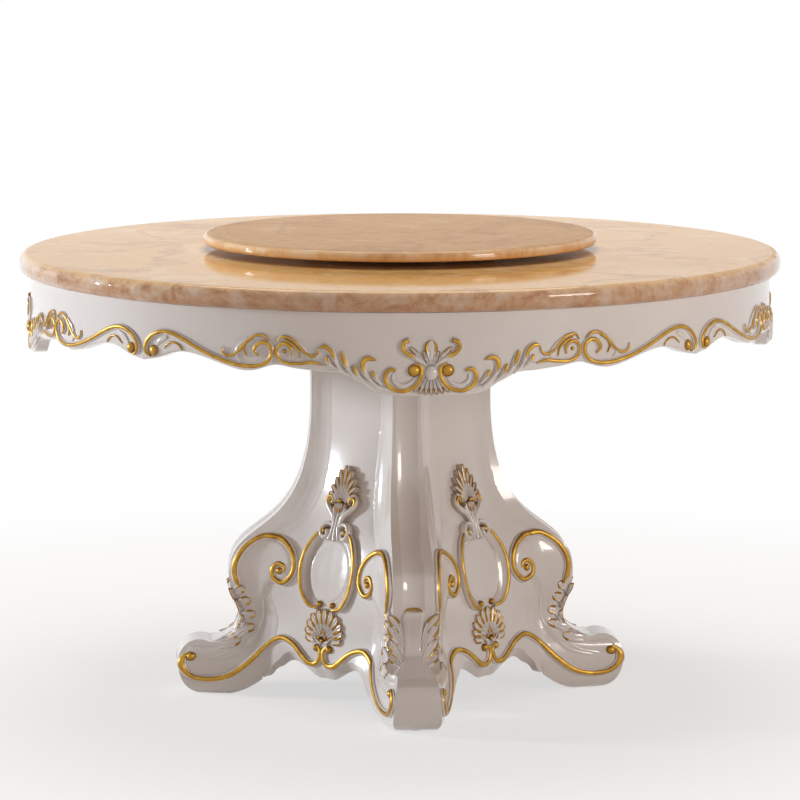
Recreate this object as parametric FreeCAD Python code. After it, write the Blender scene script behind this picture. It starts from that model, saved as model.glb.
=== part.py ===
import FreeCAD, Part
import math
import os

from FreeCAD import Vector

# Round pedestal dining table with a stone top and a turning serving disc.
# Millimetres, +Z up, origin on the floor under the centre of the pedestal.
# One leg points along -Y, which is the front.

# Stone top
TABLE_HEIGHT = 796.0            # floor to the upper face of the stone
TOP_DIAMETER = 1350.0
SLAB_THICKNESS = 20.0
EDGE_RING_THICKNESS = 15.0      # build-up strip under the rim
EDGE_RING_WIDTH = 62.0
RIM_UPPER_RADIUS = 14.0         # bullnose, upper side
RIM_LOWER_RADIUS = 13.0         # bullnose, lower side
BOARD_CLEARANCE = 2.0           # backing board inside the edge ring
PAD_THICKNESS = 1.5             # clear pads between stone and frame
PAD_DIAMETER = 26.0

# Apron
APRON_OVERHANG = 19.0           # the rim stands out past the apron
APRON_THICKNESS = 24.0
APRON_EDGE_CHAMFER = 3.0
APRON_LOBE_DEPTH = 136.0        # deepest, over each leg
APRON_SHOULDER_DEPTH = 100.0    # where the lobe ends
APRON_SCROLL_DEPTH = 89.0       # notch between the hooded scrolls
APRON_BELLY_DEPTH = 101.0       # belly of the long scroll
APRON_ARCH_DEPTH = 77.0         # shallowest, beside the joint
APRON_JOINT_DEPTH = 97.0        # pendant between two lobes
APRON_STEP_DEG = 2.5            # spacing of the radial sections

# Cross frame
BEAM_WIDTH = 60.0
BEAM_HEIGHT = 50.0
HOUSING_DEPTH = 8.0             # beam end let into the apron
HOUSING_CLEARANCE = 0.15
JOINT_BLOCK_DEPTH = 40.0
JOINT_BLOCK_HEIGHT = 60.0
JOINT_BLOCK_HALF_DEG = 4.5

# Head board, between pedestal and frame
HEAD_BOARD_THICKNESS = 20.0
HEAD_BOARD_RADIUS = 215.0
BOLT_DIAMETER = 8.0
BOLT_GRIP = 35.0                # length inside the beam
BOLT_HEAD_ACROSS = 13.0
BOLT_HEAD_HEIGHT = 5.3
BOLT_CIRCLE_RADIUS = 188.0
BOLT_SPACING = 34.0             # two bolts side by side on each beam arm
WASHER_DIAMETER = 17.0
WASHER_THICKNESS = 1.6
BOLT_HOLE_CLEARANCE = 0.5
SCREW_DIAMETER = 5.0
SCREW_HEAD_DIAMETER = 9.6
SCREW_LENGTH = 60.0
SCREW_CLEARANCE = 0.1

# Pedestal
GLIDE_THICKNESS = 3.0
GLIDE_DIAMETER = 36.0
GLIDE_STEM_DIAMETER = 8.0
GLIDE_STEM_LENGTH = 12.0
CORE_WIDTH = 80.0
COLUMN_RADIUS = 160.0           # leg face at the column
COLUMN_LENGTH = 153.5           # straight part under the head board
FLARE_UPPER_PULL = 0.853        # shares of the flare's height that bend its two ends
FLARE_LOWER_PULL = 0.3625
WAIST_RADIUS = 287.0
WAIST_HEIGHT = 138.0
KNEE_BULGE = 22.0               # the knee stands out past the waist
KNEE_HEIGHT = 216.0
TOE_PROJECTION = 115.0          # the toe stands out past the waist
TOE_ROLL_RADIUS = 40.0
TOE_LIFT = 16.0                 # the foot is this much deeper than a full roll
TOE_VALLEY_DEG = 116.0          # where the leg's front meets the roll
FOOT_FLAT_LENGTH = 50.0         # from under the roll's middle to the heel
ARCH_SPAN = 140.0
ARCH_HEIGHT = 104.0
COLUMN_FACE_WIDTH = 50.0        # width of the leg's outer face
KNEE_FACE_WIDTH = 72.0
TOE_FACE_WIDTH = 80.0
LEG_FLARE_DEG = 20.0            # the leg widens inward from its face
TOE_FLARE_DEG = 12.0
COLUMN_BAND = 20.0              # side band of the leg beside the panel
KNEE_BAND = 50.0
FOOT_BAND_INSET = 60.0          # the side band ends this far inside the heel
FACE_ALLOWANCE = 32.0           # stock in front of the face, trimmed off by the profile
FOOT_ROUNDING = 22.0            # the foot's sides turn in towards the floor
CHANNEL_HALF_WIDTH = 19.0       # hollow down the leg's front
CHANNEL_DEPTH = 5.0
CHANNEL_END_HEIGHT = 200.0
WEB_THICKNESS = 26.0            # hidden part of the leg, reaching the core
PANEL_STEP = 4.0                # the panel lies this far under the leg's band, above the knee
PANEL_LOW_STEP = 0.6            # and this far at the foot
PANEL_CLEARANCE = 1.0           # glue line between panel and shoulder
PANEL_EDGE = 14.0               # panel's edge against the leg's shoulder
PANEL_TOP_RADIUS = 118.0        # middle of the panel, from the axis
PANEL_LOW_RADIUS = 203.0
PANEL_LOW_HEIGHT = 136.0
PANEL_SWELL = 13.0              # how far the sweep still leans outward at its lower end
SKIRT_FLARE = 9.0               # the skirt stands out past the sweep
SKIRT_FLARE_HEIGHT = 78.0
SKIRT_PENDANT_HEIGHT = 47.0     # lower edge, at the back of the panel's middle
SKIRT_ARCH_HEIGHT = 66.0
SKIRT_ARCH_OFFSET = 80.0
SKIRT_END_HEIGHT = 35.0         # the edge runs level into the arch of the foot
SKIRT_BEVEL = 1.5               # rise of the turned-under edge for each step outward
DOWEL_DIAMETER = 12.0
DOWEL_LENGTH = 60.0
DOWEL_COUNT = 3                 # up each leg
DOWEL_MARGIN = 65.0             # from the ends of the core post
DOWEL_CLEARANCE = 0.1
GLUE_BLOCK_LENGTH = 100.0
GLUE_BLOCK_SIDE = 34.0
GLUE_BLOCK_CLEARANCE = 0.4
GLUE_BLOCK_SETBACK = 4.0        # from the shoulder that the panel ends on

# Serving disc and its ring bearing
SUSAN_DIAMETER = 700.0
SUSAN_THICKNESS = 18.0
SUSAN_GAP = 12.0                # stone top to the underside of the disc
SUSAN_UPPER_RADIUS = 9.0
SUSAN_LOWER_RADIUS = 6.0
RACE_RADIUS = 152.0
RING_WIDTH = 36.0
RING_GAP = 1.2
BALL_DIAMETER = 5.0
BALL_COUNT = 24
BALL_CLEARANCE = 0.05
CAGE_THICKNESS = 0.6
CAGE_WIDTH = 12.0
GRIP_PAD_THICKNESS = 1.0
GRIP_PAD_DIAMETER = 22.0
GRIP_PAD_COUNT = 8
BOND_PAD_THICKNESS = 0.8
BOND_PAD_DIAMETER = 24.0
BOND_PAD_COUNT = 8

# Worked-out levels and radii
TOP_RADIUS = TOP_DIAMETER / 2
SLAB_BOTTOM = TABLE_HEIGHT - SLAB_THICKNESS
STONE_BOTTOM = SLAB_BOTTOM - EDGE_RING_THICKNESS
FRAME_TOP = STONE_BOTTOM - PAD_THICKNESS
BEAM_BOTTOM = FRAME_TOP - BEAM_HEIGHT
PEDESTAL_TOP = BEAM_BOTTOM - HEAD_BOARD_THICKNESS
APRON_OUTER = TOP_RADIUS - APRON_OVERHANG
APRON_INNER = APRON_OUTER - APRON_THICKNESS
FLARE_TOP_HEIGHT = PEDESTAL_TOP - COLUMN_LENGTH
KNEE_RADIUS = WAIST_RADIUS + KNEE_BULGE
TOE_REACH = WAIST_RADIUS + TOE_PROJECTION
TOE_CENTRE_RADIUS = TOE_REACH - TOE_ROLL_RADIUS
TOE_CENTRE_HEIGHT = GLIDE_THICKNESS + TOE_ROLL_RADIUS + TOE_LIFT
HEEL_RADIUS = TOE_CENTRE_RADIUS - FOOT_FLAT_LENGTH
FOOT_BAND_RADIUS = HEEL_RADIUS - FOOT_BAND_INSET
ARCH_RADIUS = HEEL_RADIUS - ARCH_SPAN
CORE_HALF = CORE_WIDTH / 2
WEB_HALF = WEB_THICKNESS / 2

ORIGIN = Vector(0, 0, 0)
UP = Vector(0, 0, 1)
DIAGONAL = Vector(1, 1, 0) * (1 / math.sqrt(2))
SIDES = ("right", "back", "left", "front")              # leg directions, from +X turning left
CORNERS = ("back_right", "back_left", "front_left", "front_right")


# Small helpers

def turned(shape, degrees):
    copy = shape.copy()
    copy.rotate(ORIGIN, UP, degrees)
    return copy


def four_turns(shape):
    return [turned(shape, 90 * turn) for turn in range(4)]


def ring_of(shape, count):
    return [turned(shape, 360 * turn / count) for turn in range(count)]


def cylinder(radius, height, base=ORIGIN, axis=UP):
    return Part.makeCylinder(radius, height, base, axis)


def centred_box(length, width, height, bottom):
    return Part.makeBox(length, width, height, Vector(-length / 2, -width / 2, bottom))


def polygon_face(points):
    return Part.Face(Part.makePolygon(list(points) + [points[0]]))


def bezier(*poles):
    curve = Part.BezierCurve()
    curve.setPoles(list(poles))
    return curve


def line(start, end):
    return Part.LineSegment(start, end).toShape()


def arc(start, middle, end):
    return Part.Arc(start, middle, end).toShape()


def revolved(edges):
    return Part.Face(Part.Wire(edges)).revolve(ORIGIN, UP, 360)


def flat(radius, height):
    """A point in the leg's own upright plane, which holds the axis and +X."""
    return Vector(radius, 0, height)


def at_height(curve, height):
    """Radius of an upright curve where it passes a height; its height falls as its parameter grows."""
    low, high = 0.0, 1.0
    for _ in range(50):
        middle = (low + high) / 2
        if curve.value(middle).z > height:
            low = middle
        else:
            high = middle
    return curve.value(low).x


def between(value, low, high):
    """Share of the way from low to high, eased at both ends."""
    share = min(1.0, max(0.0, (value - low) / (high - low)))
    return share * share * (3 - 2 * share)


def mixed(share, low, high):
    return low + share * (high - low)


# Stone top

def rim_point(radius_outer, centre_height, corner_radius, degrees):
    angle = math.radians(degrees)
    return flat(
        radius_outer - corner_radius * (1 - math.cos(angle)),
        centre_height + corner_radius * math.sin(angle),
    )


def upper_rim(outer, top, corner):
    centre = top - corner
    return arc(flat(outer - corner, top), rim_point(outer, centre, corner, 45), flat(outer, centre))


def lower_rim(outer, bottom, corner):
    centre = bottom + corner
    return arc(flat(outer, centre), rim_point(outer, centre, corner, -45), flat(outer - corner, bottom))


def marble_slab():
    corner = min(RIM_UPPER_RADIUS, SLAB_THICKNESS - 0.5)
    edges = [
        line(flat(0, SLAB_BOTTOM), flat(0, TABLE_HEIGHT)),
        line(flat(0, TABLE_HEIGHT), flat(TOP_RADIUS - corner, TABLE_HEIGHT)),
        upper_rim(TOP_RADIUS, TABLE_HEIGHT, corner),
        line(flat(TOP_RADIUS, TABLE_HEIGHT - corner), flat(TOP_RADIUS, SLAB_BOTTOM)),
        line(flat(TOP_RADIUS, SLAB_BOTTOM), flat(0, SLAB_BOTTOM)),
    ]
    return revolved(edges)


def marble_edge_ring():
    corner = min(RIM_LOWER_RADIUS, EDGE_RING_THICKNESS - 0.5)
    inner = TOP_RADIUS - EDGE_RING_WIDTH
    edges = [
        line(flat(inner, STONE_BOTTOM), flat(inner, SLAB_BOTTOM)),
        line(flat(inner, SLAB_BOTTOM), flat(TOP_RADIUS, SLAB_BOTTOM)),
        line(flat(TOP_RADIUS, SLAB_BOTTOM), flat(TOP_RADIUS, STONE_BOTTOM + corner)),
        lower_rim(TOP_RADIUS, STONE_BOTTOM, corner),
        line(flat(TOP_RADIUS - corner, STONE_BOTTOM), flat(inner, STONE_BOTTOM)),
    ]
    return revolved(edges)


def backing_board():
    radius = TOP_RADIUS - EDGE_RING_WIDTH - BOARD_CLEARANCE
    return cylinder(radius, EDGE_RING_THICKNESS, Vector(0, 0, STONE_BOTTOM))


def marble_pads():
    """Clear pads on the beam arms and on the joint blocks behind the apron."""
    on_arm = (APRON_INNER * 0.42, APRON_INNER * 0.82)
    pads = []
    for radius in on_arm:
        pads += four_turns(cylinder(PAD_DIAMETER / 2, PAD_THICKNESS, Vector(radius, 0, FRAME_TOP)))
    on_block = APRON_INNER - JOINT_BLOCK_DEPTH / 2
    block_pad = cylinder(PAD_DIAMETER / 2, PAD_THICKNESS, Vector(on_block, 0, FRAME_TOP))
    pads += four_turns(turned(block_pad, 45))
    return Part.makeCompound(pads)


# Apron

APRON_EDGE = (
    (0.0, APRON_LOBE_DEPTH),
    (6.0, APRON_LOBE_DEPTH - 1.5),
    (13.0, APRON_SHOULDER_DEPTH),
    (18.0, APRON_SHOULDER_DEPTH - 4.5),
    (22.5, APRON_SCROLL_DEPTH),
    (26.5, APRON_BELLY_DEPTH),
    (37.5, APRON_ARCH_DEPTH),
    (45.0, APRON_JOINT_DEPTH),
)


def apron_depth(degrees):
    """Depth of the scalloped edge below the apron's top, at an angle from the middle of a segment."""
    angle = abs(degrees)
    for (start, start_depth), (end, end_depth) in zip(APRON_EDGE, APRON_EDGE[1:]):
        if angle <= end:
            return mixed(between(angle, start, end), start_depth, end_depth)
    return APRON_EDGE[-1][1]


def apron_section(degrees):
    low = FRAME_TOP - apron_depth(degrees)
    cut = APRON_EDGE_CHAMFER
    corners = [
        flat(APRON_INNER, FRAME_TOP), flat(APRON_OUTER, FRAME_TOP),
        flat(APRON_OUTER, low + cut), flat(APRON_OUTER - cut, low),
        flat(APRON_INNER, low),
    ]
    return turned(Part.makePolygon(corners + [corners[0]]), degrees)


def beam_housing():
    """Space that a beam's end takes in the middle of an apron segment."""
    width = BEAM_WIDTH + 2 * HOUSING_CLEARANCE
    reach = APRON_INNER + HOUSING_DEPTH
    return Part.makeBox(reach, width, BEAM_HEIGHT * 2, Vector(0, -width / 2, BEAM_BOTTOM - HOUSING_CLEARANCE))


def apron_screw_places():
    """Turns and heights of the screws through each joint block, from the joint's own direction."""
    half = JOINT_BLOCK_HALF_DEG / 2
    middle = FRAME_TOP - JOINT_BLOCK_HEIGHT / 2
    return [(side * half, middle + rise * JOINT_BLOCK_HEIGHT / 4) for side in (-1, 1) for rise in (-1, 1)]


def apron_screw_holes(radius):
    start = APRON_INNER - JOINT_BLOCK_DEPTH
    length = JOINT_BLOCK_DEPTH + APRON_THICKNESS / 2
    return [
        turned(cylinder(radius, length, flat(start, height), Vector(1, 0, 0)), 45 + turn)
        for turn, height in apron_screw_places()
    ]


def apron_segments():
    """Four bent segments. Each is centred on a leg and meets its neighbours on the diagonals."""
    count = round(90 / APRON_STEP_DEG)
    sections = [apron_section(-45 + 90 * step / count) for step in range(count + 1)]
    segment = Part.makeLoft(sections, True, False)
    holes = apron_screw_holes(SCREW_DIAMETER / 2 + SCREW_CLEARANCE)
    holes += [turned(hole, -90) for hole in holes]
    segment = segment.cut(beam_housing()).cut(Part.makeCompound(holes))
    return four_turns(segment)


def joint_block():
    half = math.radians(JOINT_BLOCK_HALF_DEG)
    reach = APRON_OUTER
    bottom = FRAME_TOP - JOINT_BLOCK_HEIGHT
    sector = polygon_face([
        Vector(0, 0, bottom),
        Vector(reach, -reach * math.tan(half), bottom), Vector(reach, reach * math.tan(half), bottom),
    ]).extrude(UP * JOINT_BLOCK_HEIGHT)
    outer = cylinder(APRON_INNER - SCREW_CLEARANCE, JOINT_BLOCK_HEIGHT, Vector(0, 0, bottom))
    inner = cylinder(APRON_INNER - JOINT_BLOCK_DEPTH, JOINT_BLOCK_HEIGHT, Vector(0, 0, bottom))
    block = turned(sector.common(outer.cut(inner)), 45)
    return block.cut(Part.makeCompound(apron_screw_holes(SCREW_DIAMETER / 2 + SCREW_CLEARANCE)))


def countersunk_screw(length):
    """A screw along -Z with its head's flat at the origin."""
    head, shank = SCREW_HEAD_DIAMETER / 2, SCREW_DIAMETER / 2
    depth = head - shank
    points = [
        flat(0, 0), flat(head, 0), flat(shank, -depth), flat(shank, -length + shank),
        flat(shank * 0.3, -length), flat(0, -length),
    ]
    return polygon_face(points).revolve(ORIGIN, UP, 360)


def pan_head_screw(length):
    """A screw along -Z whose head sits on the origin's plane."""
    head, shank = SCREW_HEAD_DIAMETER / 2, SCREW_DIAMETER / 2
    rise = head - shank
    points = [
        flat(0, -length), flat(shank * 0.3, -length), flat(shank, -length + shank), flat(shank, 0),
        flat(head, 0), flat(head, rise * 0.5), flat(head * 0.7, rise), flat(0, rise),
    ]
    return polygon_face(points).revolve(ORIGIN, UP, 360)


def apron_screws():
    length = JOINT_BLOCK_DEPTH + APRON_THICKNESS / 2 - SCREW_CLEARANCE
    screws = []
    for turn, height in apron_screw_places():
        screw = pan_head_screw(length)
        screw.rotate(ORIGIN, Vector(0, 1, 0), -90)
        screw.translate(flat(APRON_INNER - JOINT_BLOCK_DEPTH - SCREW_CLEARANCE, height))
        screws += four_turns(turned(screw, 45 + turn))
    return Part.makeCompound(screws)


# Cross frame and head board

def bolt_places():
    return [(BOLT_CIRCLE_RADIUS, side * BOLT_SPACING / 2) for side in (-1, 1)]


def bolt_holes(diameter, bottom, height):
    holes = []
    for x, y in bolt_places():
        holes += four_turns(cylinder(diameter / 2, height, Vector(x, y, bottom)))
    return Part.makeCompound(holes)


def cross_beams():
    """Two beams halved into each other at the middle, with ends housed in the apron."""
    length = 2 * (APRON_INNER + HOUSING_DEPTH)
    trim = cylinder(APRON_INNER + HOUSING_DEPTH - HOUSING_CLEARANCE, BEAM_HEIGHT, Vector(0, 0, BEAM_BOTTOM))
    blank = centred_box(length, BEAM_WIDTH, BEAM_HEIGHT, BEAM_BOTTOM).common(trim)
    hole_depth = BOLT_GRIP + BOLT_HOLE_CLEARANCE
    blank = blank.cut(bolt_holes(BOLT_DIAMETER + SCREW_CLEARANCE, BEAM_BOTTOM, hole_depth))
    lap = BEAM_WIDTH + 2 * HOUSING_CLEARANCE
    middle = BEAM_BOTTOM + BEAM_HEIGHT / 2
    lower_lap = centred_box(lap, lap, BEAM_HEIGHT / 2, BEAM_BOTTOM)
    upper_lap = centred_box(lap, lap, BEAM_HEIGHT / 2, middle)
    return blank.cut(lower_lap), turned(blank, 90).cut(upper_lap)


def head_screw_places():
    return [(COLUMN_RADIUS - COLUMN_BAND / 2, side * COLUMN_FACE_WIDTH / 4) for side in (-1, 1)]


def head_screws():
    screws = []
    for x, y in head_screw_places():
        screw = countersunk_screw(SCREW_LENGTH)
        screw.translate(Vector(x, y, BEAM_BOTTOM))
        screws += four_turns(screw)
    return screws


def head_screw_holes():
    """Space of the head screws, a little wider than they are."""
    radius = SCREW_DIAMETER / 2 + SCREW_CLEARANCE
    wide = SCREW_HEAD_DIAMETER / 2 + SCREW_CLEARANCE
    depth = SCREW_LENGTH + SCREW_CLEARANCE
    holes = []
    for x, y in head_screw_places():
        shank = cylinder(radius, depth, Vector(x, y, BEAM_BOTTOM - depth))
        cone = Part.makeCone(radius, wide, wide - radius, Vector(x, y, BEAM_BOTTOM - wide + radius))
        holes += four_turns(shank.fuse(cone))
    return Part.makeCompound(holes)


def head_board():
    board = cylinder(HEAD_BOARD_RADIUS, HEAD_BOARD_THICKNESS, Vector(0, 0, PEDESTAL_TOP))
    clearance = bolt_holes(BOLT_DIAMETER + 2 * BOLT_HOLE_CLEARANCE, PEDESTAL_TOP, HEAD_BOARD_THICKNESS)
    return board.cut(clearance).cut(head_screw_holes())


def hexagon(across, bottom):
    corner = across / math.sqrt(3)
    return polygon_face([
        Vector(corner * math.cos(math.radians(60 * n)), corner * math.sin(math.radians(60 * n)), bottom)
        for n in range(6)
    ])


def frame_bolts():
    """Hex bolts pushed up through washers and head board into the beams."""
    seat = PEDESTAL_TOP - WASHER_THICKNESS
    head = hexagon(BOLT_HEAD_ACROSS, seat - BOLT_HEAD_HEIGHT).extrude(UP * BOLT_HEAD_HEIGHT)
    shank = cylinder(BOLT_DIAMETER / 2, BEAM_BOTTOM + BOLT_GRIP - seat, Vector(0, 0, seat))
    bolts = []
    for x, y in bolt_places():
        bolt = head.fuse(shank)
        bolt.translate(Vector(x, y, 0))
        bolts += four_turns(bolt)
    return Part.makeCompound(bolts)


def frame_washers():
    bottom = PEDESTAL_TOP - WASHER_THICKNESS
    hole = BOLT_DIAMETER / 2 + BOLT_HOLE_CLEARANCE / 2
    washers = []
    for x, y in bolt_places():
        disc = cylinder(WASHER_DIAMETER / 2, WASHER_THICKNESS, Vector(x, y, bottom))
        washers += four_turns(disc.cut(cylinder(hole, WASHER_THICKNESS, Vector(x, y, bottom))))
    return Part.makeCompound(washers)


# Pedestal legs

FLARE_HEIGHT = FLARE_TOP_HEIGHT - KNEE_HEIGHT
FLARE = bezier(
    flat(COLUMN_RADIUS, FLARE_TOP_HEIGHT),
    flat(COLUMN_RADIUS, FLARE_TOP_HEIGHT - FLARE_UPPER_PULL * FLARE_HEIGHT),
    flat(KNEE_RADIUS, KNEE_HEIGHT + FLARE_LOWER_PULL * FLARE_HEIGHT),
    flat(KNEE_RADIUS, KNEE_HEIGHT),
)
CALF = bezier(
    flat(KNEE_RADIUS, KNEE_HEIGHT), flat(KNEE_RADIUS, mixed(0.5, KNEE_HEIGHT, WAIST_HEIGHT)),
    flat(WAIST_RADIUS, mixed(0.6, KNEE_HEIGHT, WAIST_HEIGHT)), flat(WAIST_RADIUS, WAIST_HEIGHT),
)


def toe_point(degrees):
    angle = math.radians(degrees)
    return flat(
        TOE_CENTRE_RADIUS + TOE_ROLL_RADIUS * math.cos(angle),
        TOE_CENTRE_HEIGHT + TOE_ROLL_RADIUS * math.sin(angle),
    )


def leg_profile():
    """Outline of a leg seen from its side: column, knee, waist, rolled toe, flat foot and arch."""
    valley = toe_point(TOE_VALLEY_DEG)
    waist = flat(WAIST_RADIUS, WAIST_HEIGHT)
    drop = WAIST_HEIGHT - valley.z
    instep = bezier(
        waist, flat(WAIST_RADIUS, WAIST_HEIGHT - 0.75 * drop),
        flat(mixed(0.5, WAIST_RADIUS, valley.x), valley.z), valley,
    )
    heel = flat(HEEL_RADIUS, GLIDE_THICKNESS)
    arch_end = flat(ARCH_RADIUS, ARCH_HEIGHT)
    arch = bezier(
        heel, flat(mixed(0.16, HEEL_RADIUS, ARCH_RADIUS), GLIDE_THICKNESS),
        flat(mixed(0.48, HEEL_RADIUS, ARCH_RADIUS), mixed(0.28, GLIDE_THICKNESS, ARCH_HEIGHT)), arch_end,
    )
    toe_front, ball = toe_point(0), flat(TOE_CENTRE_RADIUS, GLIDE_THICKNESS)
    toe_under = bezier(
        toe_front, flat(TOE_REACH, mixed(0.55, TOE_CENTRE_HEIGHT, GLIDE_THICKNESS)),
        flat(mixed(0.55, TOE_CENTRE_RADIUS, TOE_REACH), GLIDE_THICKNESS), ball,
    )
    edges = [
        line(flat(CORE_HALF, PEDESTAL_TOP), flat(COLUMN_RADIUS, PEDESTAL_TOP)),
        line(flat(COLUMN_RADIUS, PEDESTAL_TOP), flat(COLUMN_RADIUS, FLARE_TOP_HEIGHT)),
        FLARE.toShape(), CALF.toShape(), instep.toShape(),
        arc(valley, toe_point(50), toe_front), toe_under.toShape(),
        line(ball, heel), arch.toShape(),
        line(arch_end, flat(CORE_HALF, ARCH_HEIGHT)),
        line(flat(CORE_HALF, ARCH_HEIGHT), flat(CORE_HALF, PEDESTAL_TOP)),
    ]
    return Part.Face(Part.Wire(edges))


def face_radius(height):
    """Distance from the axis to the leg's outer face, with the toe taken as its full reach."""
    if height >= FLARE_TOP_HEIGHT:
        return COLUMN_RADIUS
    if height >= KNEE_HEIGHT:
        return at_height(FLARE, height)
    if height >= WAIST_HEIGHT:
        return at_height(CALF, height)
    return mixed(between(height, TOE_CENTRE_HEIGHT, WAIST_HEIGHT), TOE_REACH, WAIST_RADIUS)


def face_half_width(height):
    if height >= KNEE_HEIGHT:
        share = between(height, KNEE_HEIGHT, FLARE_TOP_HEIGHT)
        return mixed(share, KNEE_FACE_WIDTH, COLUMN_FACE_WIDTH) / 2
    return mixed(between(height, TOE_CENTRE_HEIGHT, KNEE_HEIGHT), TOE_FACE_WIDTH, KNEE_FACE_WIDTH) / 2


def side_slope(height):
    share = between(height, TOE_CENTRE_HEIGHT, KNEE_HEIGHT)
    return math.tan(math.radians(mixed(share, TOE_FLARE_DEG, LEG_FLARE_DEG)))


def foot_inset(height):
    """How far the foot's rounded sides stand in, close to the floor."""
    drop = max(0.0, GLIDE_THICKNESS + FOOT_ROUNDING - height)
    return FOOT_ROUNDING - math.sqrt(max(0.0, FOOT_ROUNDING ** 2 - drop ** 2)) if drop else 0.0


def half_width_at(radius, height):
    """Half of the leg's width at a distance from the axis, within its side band."""
    flare = (face_radius(height) - radius) * side_slope(height)
    return face_half_width(height) + flare - foot_inset(max(height, GLIDE_THICKNESS + FOOT_ROUNDING / 4))


def band_radius(height):
    """Inner end of the leg's side band, where the panel starts."""
    if height >= WAIST_HEIGHT:
        share = between(height, KNEE_HEIGHT, FLARE_TOP_HEIGHT)
        return face_radius(height) - mixed(share, KNEE_BAND, COLUMN_BAND)
    waist_band = face_radius(WAIST_HEIGHT) - KNEE_BAND
    return mixed(between(height, TOE_CENTRE_HEIGHT, WAIST_HEIGHT), FOOT_BAND_RADIUS, waist_band)


def stations(bottom, top):
    """Heights of the level sections, closer together where the leg turns most."""
    marks = [bottom] + [GLIDE_THICKNESS + FOOT_ROUNDING * share for share in (0.25, 0.5, 0.75, 1.0)]
    marks += [
        TOE_CENTRE_HEIGHT, mixed(0.35, TOE_CENTRE_HEIGHT, WAIST_HEIGHT),
        mixed(0.7, TOE_CENTRE_HEIGHT, WAIST_HEIGHT), WAIST_HEIGHT, mixed(0.5, WAIST_HEIGHT, KNEE_HEIGHT),
        KNEE_HEIGHT,
    ]
    steps = 7
    marks += [mixed(step / steps, KNEE_HEIGHT, FLARE_TOP_HEIGHT) for step in range(1, steps + 1)]
    marks += [mixed(0.5, FLARE_TOP_HEIGHT, top), top]
    return sorted(set(mark for mark in marks if bottom <= mark <= top))


def leg_level_section(height):
    """Level outline of a leg: a shaped head with a thin web behind it. The profile trims its face."""
    outer = face_radius(height) + FACE_ALLOWANCE
    shoulder = band_radius(height)
    side = [
        (outer, half_width_at(outer, height)), (shoulder, half_width_at(shoulder, height)),
        (shoulder, WEB_HALF), (CORE_HALF, WEB_HALF),
    ]
    points = [Vector(x, y, height) for x, y in side] + [Vector(x, -y, height) for x, y in reversed(side)]
    return Part.makePolygon(points + [points[0]])


def channel_section(height):
    """Level outline of the hollow down the leg's front, with stock in front of the face."""
    face = face_radius(height)
    corner, mirror = Vector(face, CHANNEL_HALF_WIDTH, height), Vector(face, -CHANNEL_HALF_WIDTH, height)
    front = Vector(FACE_ALLOWANCE, 0, 0)
    edges = [
        arc(corner, flat(face - CHANNEL_DEPTH, height), mirror), line(mirror, mirror + front),
        line(mirror + front, corner + front), line(corner + front, corner),
    ]
    return Part.Wire(edges)


def dowel_heights():
    low, high = ARCH_HEIGHT + DOWEL_MARGIN, PEDESTAL_TOP - DOWEL_MARGIN
    return [mixed(step / (DOWEL_COUNT - 1), low, high) for step in range(DOWEL_COUNT)]


def dowel_holes():
    radius = (DOWEL_DIAMETER + DOWEL_CLEARANCE) / 2
    start = CORE_HALF - DOWEL_LENGTH / 2 - DOWEL_CLEARANCE
    length = DOWEL_LENGTH + 2 * DOWEL_CLEARANCE
    return [cylinder(radius, length, flat(start, height), Vector(1, 0, 0)) for height in dowel_heights()]


def glide_place():
    return Vector(mixed(0.5, HEEL_RADIUS, TOE_CENTRE_RADIUS), 0, 0)


def legs():
    depth = 2 * TOE_REACH
    profile = leg_profile()
    profile.translate(Vector(0, -depth / 2, 0))
    blank = profile.extrude(Vector(0, depth, 0))
    sides = Part.makeLoft([leg_level_section(z) for z in stations(0.0, PEDESTAL_TOP)], True, False)
    channel = [channel_section(z) for z in stations(CHANNEL_END_HEIGHT, PEDESTAL_TOP)]
    leg = blank.common(sides).cut(Part.makeLoft(channel, True, False))
    stem_radius = (GLIDE_STEM_DIAMETER + DOWEL_CLEARANCE) / 2
    stem_depth = GLIDE_THICKNESS + GLIDE_STEM_LENGTH + DOWEL_CLEARANCE
    stem_hole = cylinder(stem_radius, stem_depth, glide_place())
    leg = leg.cut(Part.makeCompound(dowel_holes() + [stem_hole])).cut(head_screw_holes())
    return four_turns(leg)


def core_post():
    post = centred_box(CORE_WIDTH, CORE_WIDTH, PEDESTAL_TOP - ARCH_HEIGHT, ARCH_HEIGHT)
    holes = [hole for one in dowel_holes() for hole in four_turns(one)]
    return post.cut(Part.makeCompound(holes))


def leg_dowels():
    start = CORE_HALF - DOWEL_LENGTH / 2
    dowels = []
    for height in dowel_heights():
        dowels += four_turns(cylinder(DOWEL_DIAMETER / 2, DOWEL_LENGTH, flat(start, height), Vector(1, 0, 0)))
    return Part.makeCompound(dowels)


def foot_glides():
    place = glide_place()
    disc = cylinder(GLIDE_DIAMETER / 2, GLIDE_THICKNESS, place)
    stem = cylinder(GLIDE_STEM_DIAMETER / 2, GLIDE_THICKNESS + GLIDE_STEM_LENGTH, place)
    return Part.makeCompound(four_turns(disc.fuse(stem)))


# Pedestal panels

PANEL_SWEEP = bezier(
    flat(PANEL_TOP_RADIUS, mixed(0.25, FLARE_TOP_HEIGHT, PEDESTAL_TOP)),
    flat(PANEL_TOP_RADIUS, mixed(0.59, FLARE_TOP_HEIGHT, KNEE_HEIGHT)),
    flat(PANEL_LOW_RADIUS - PANEL_SWELL, mixed(0.66, FLARE_TOP_HEIGHT, KNEE_HEIGHT)),
    flat(PANEL_LOW_RADIUS, PANEL_LOW_HEIGHT),
)


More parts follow.
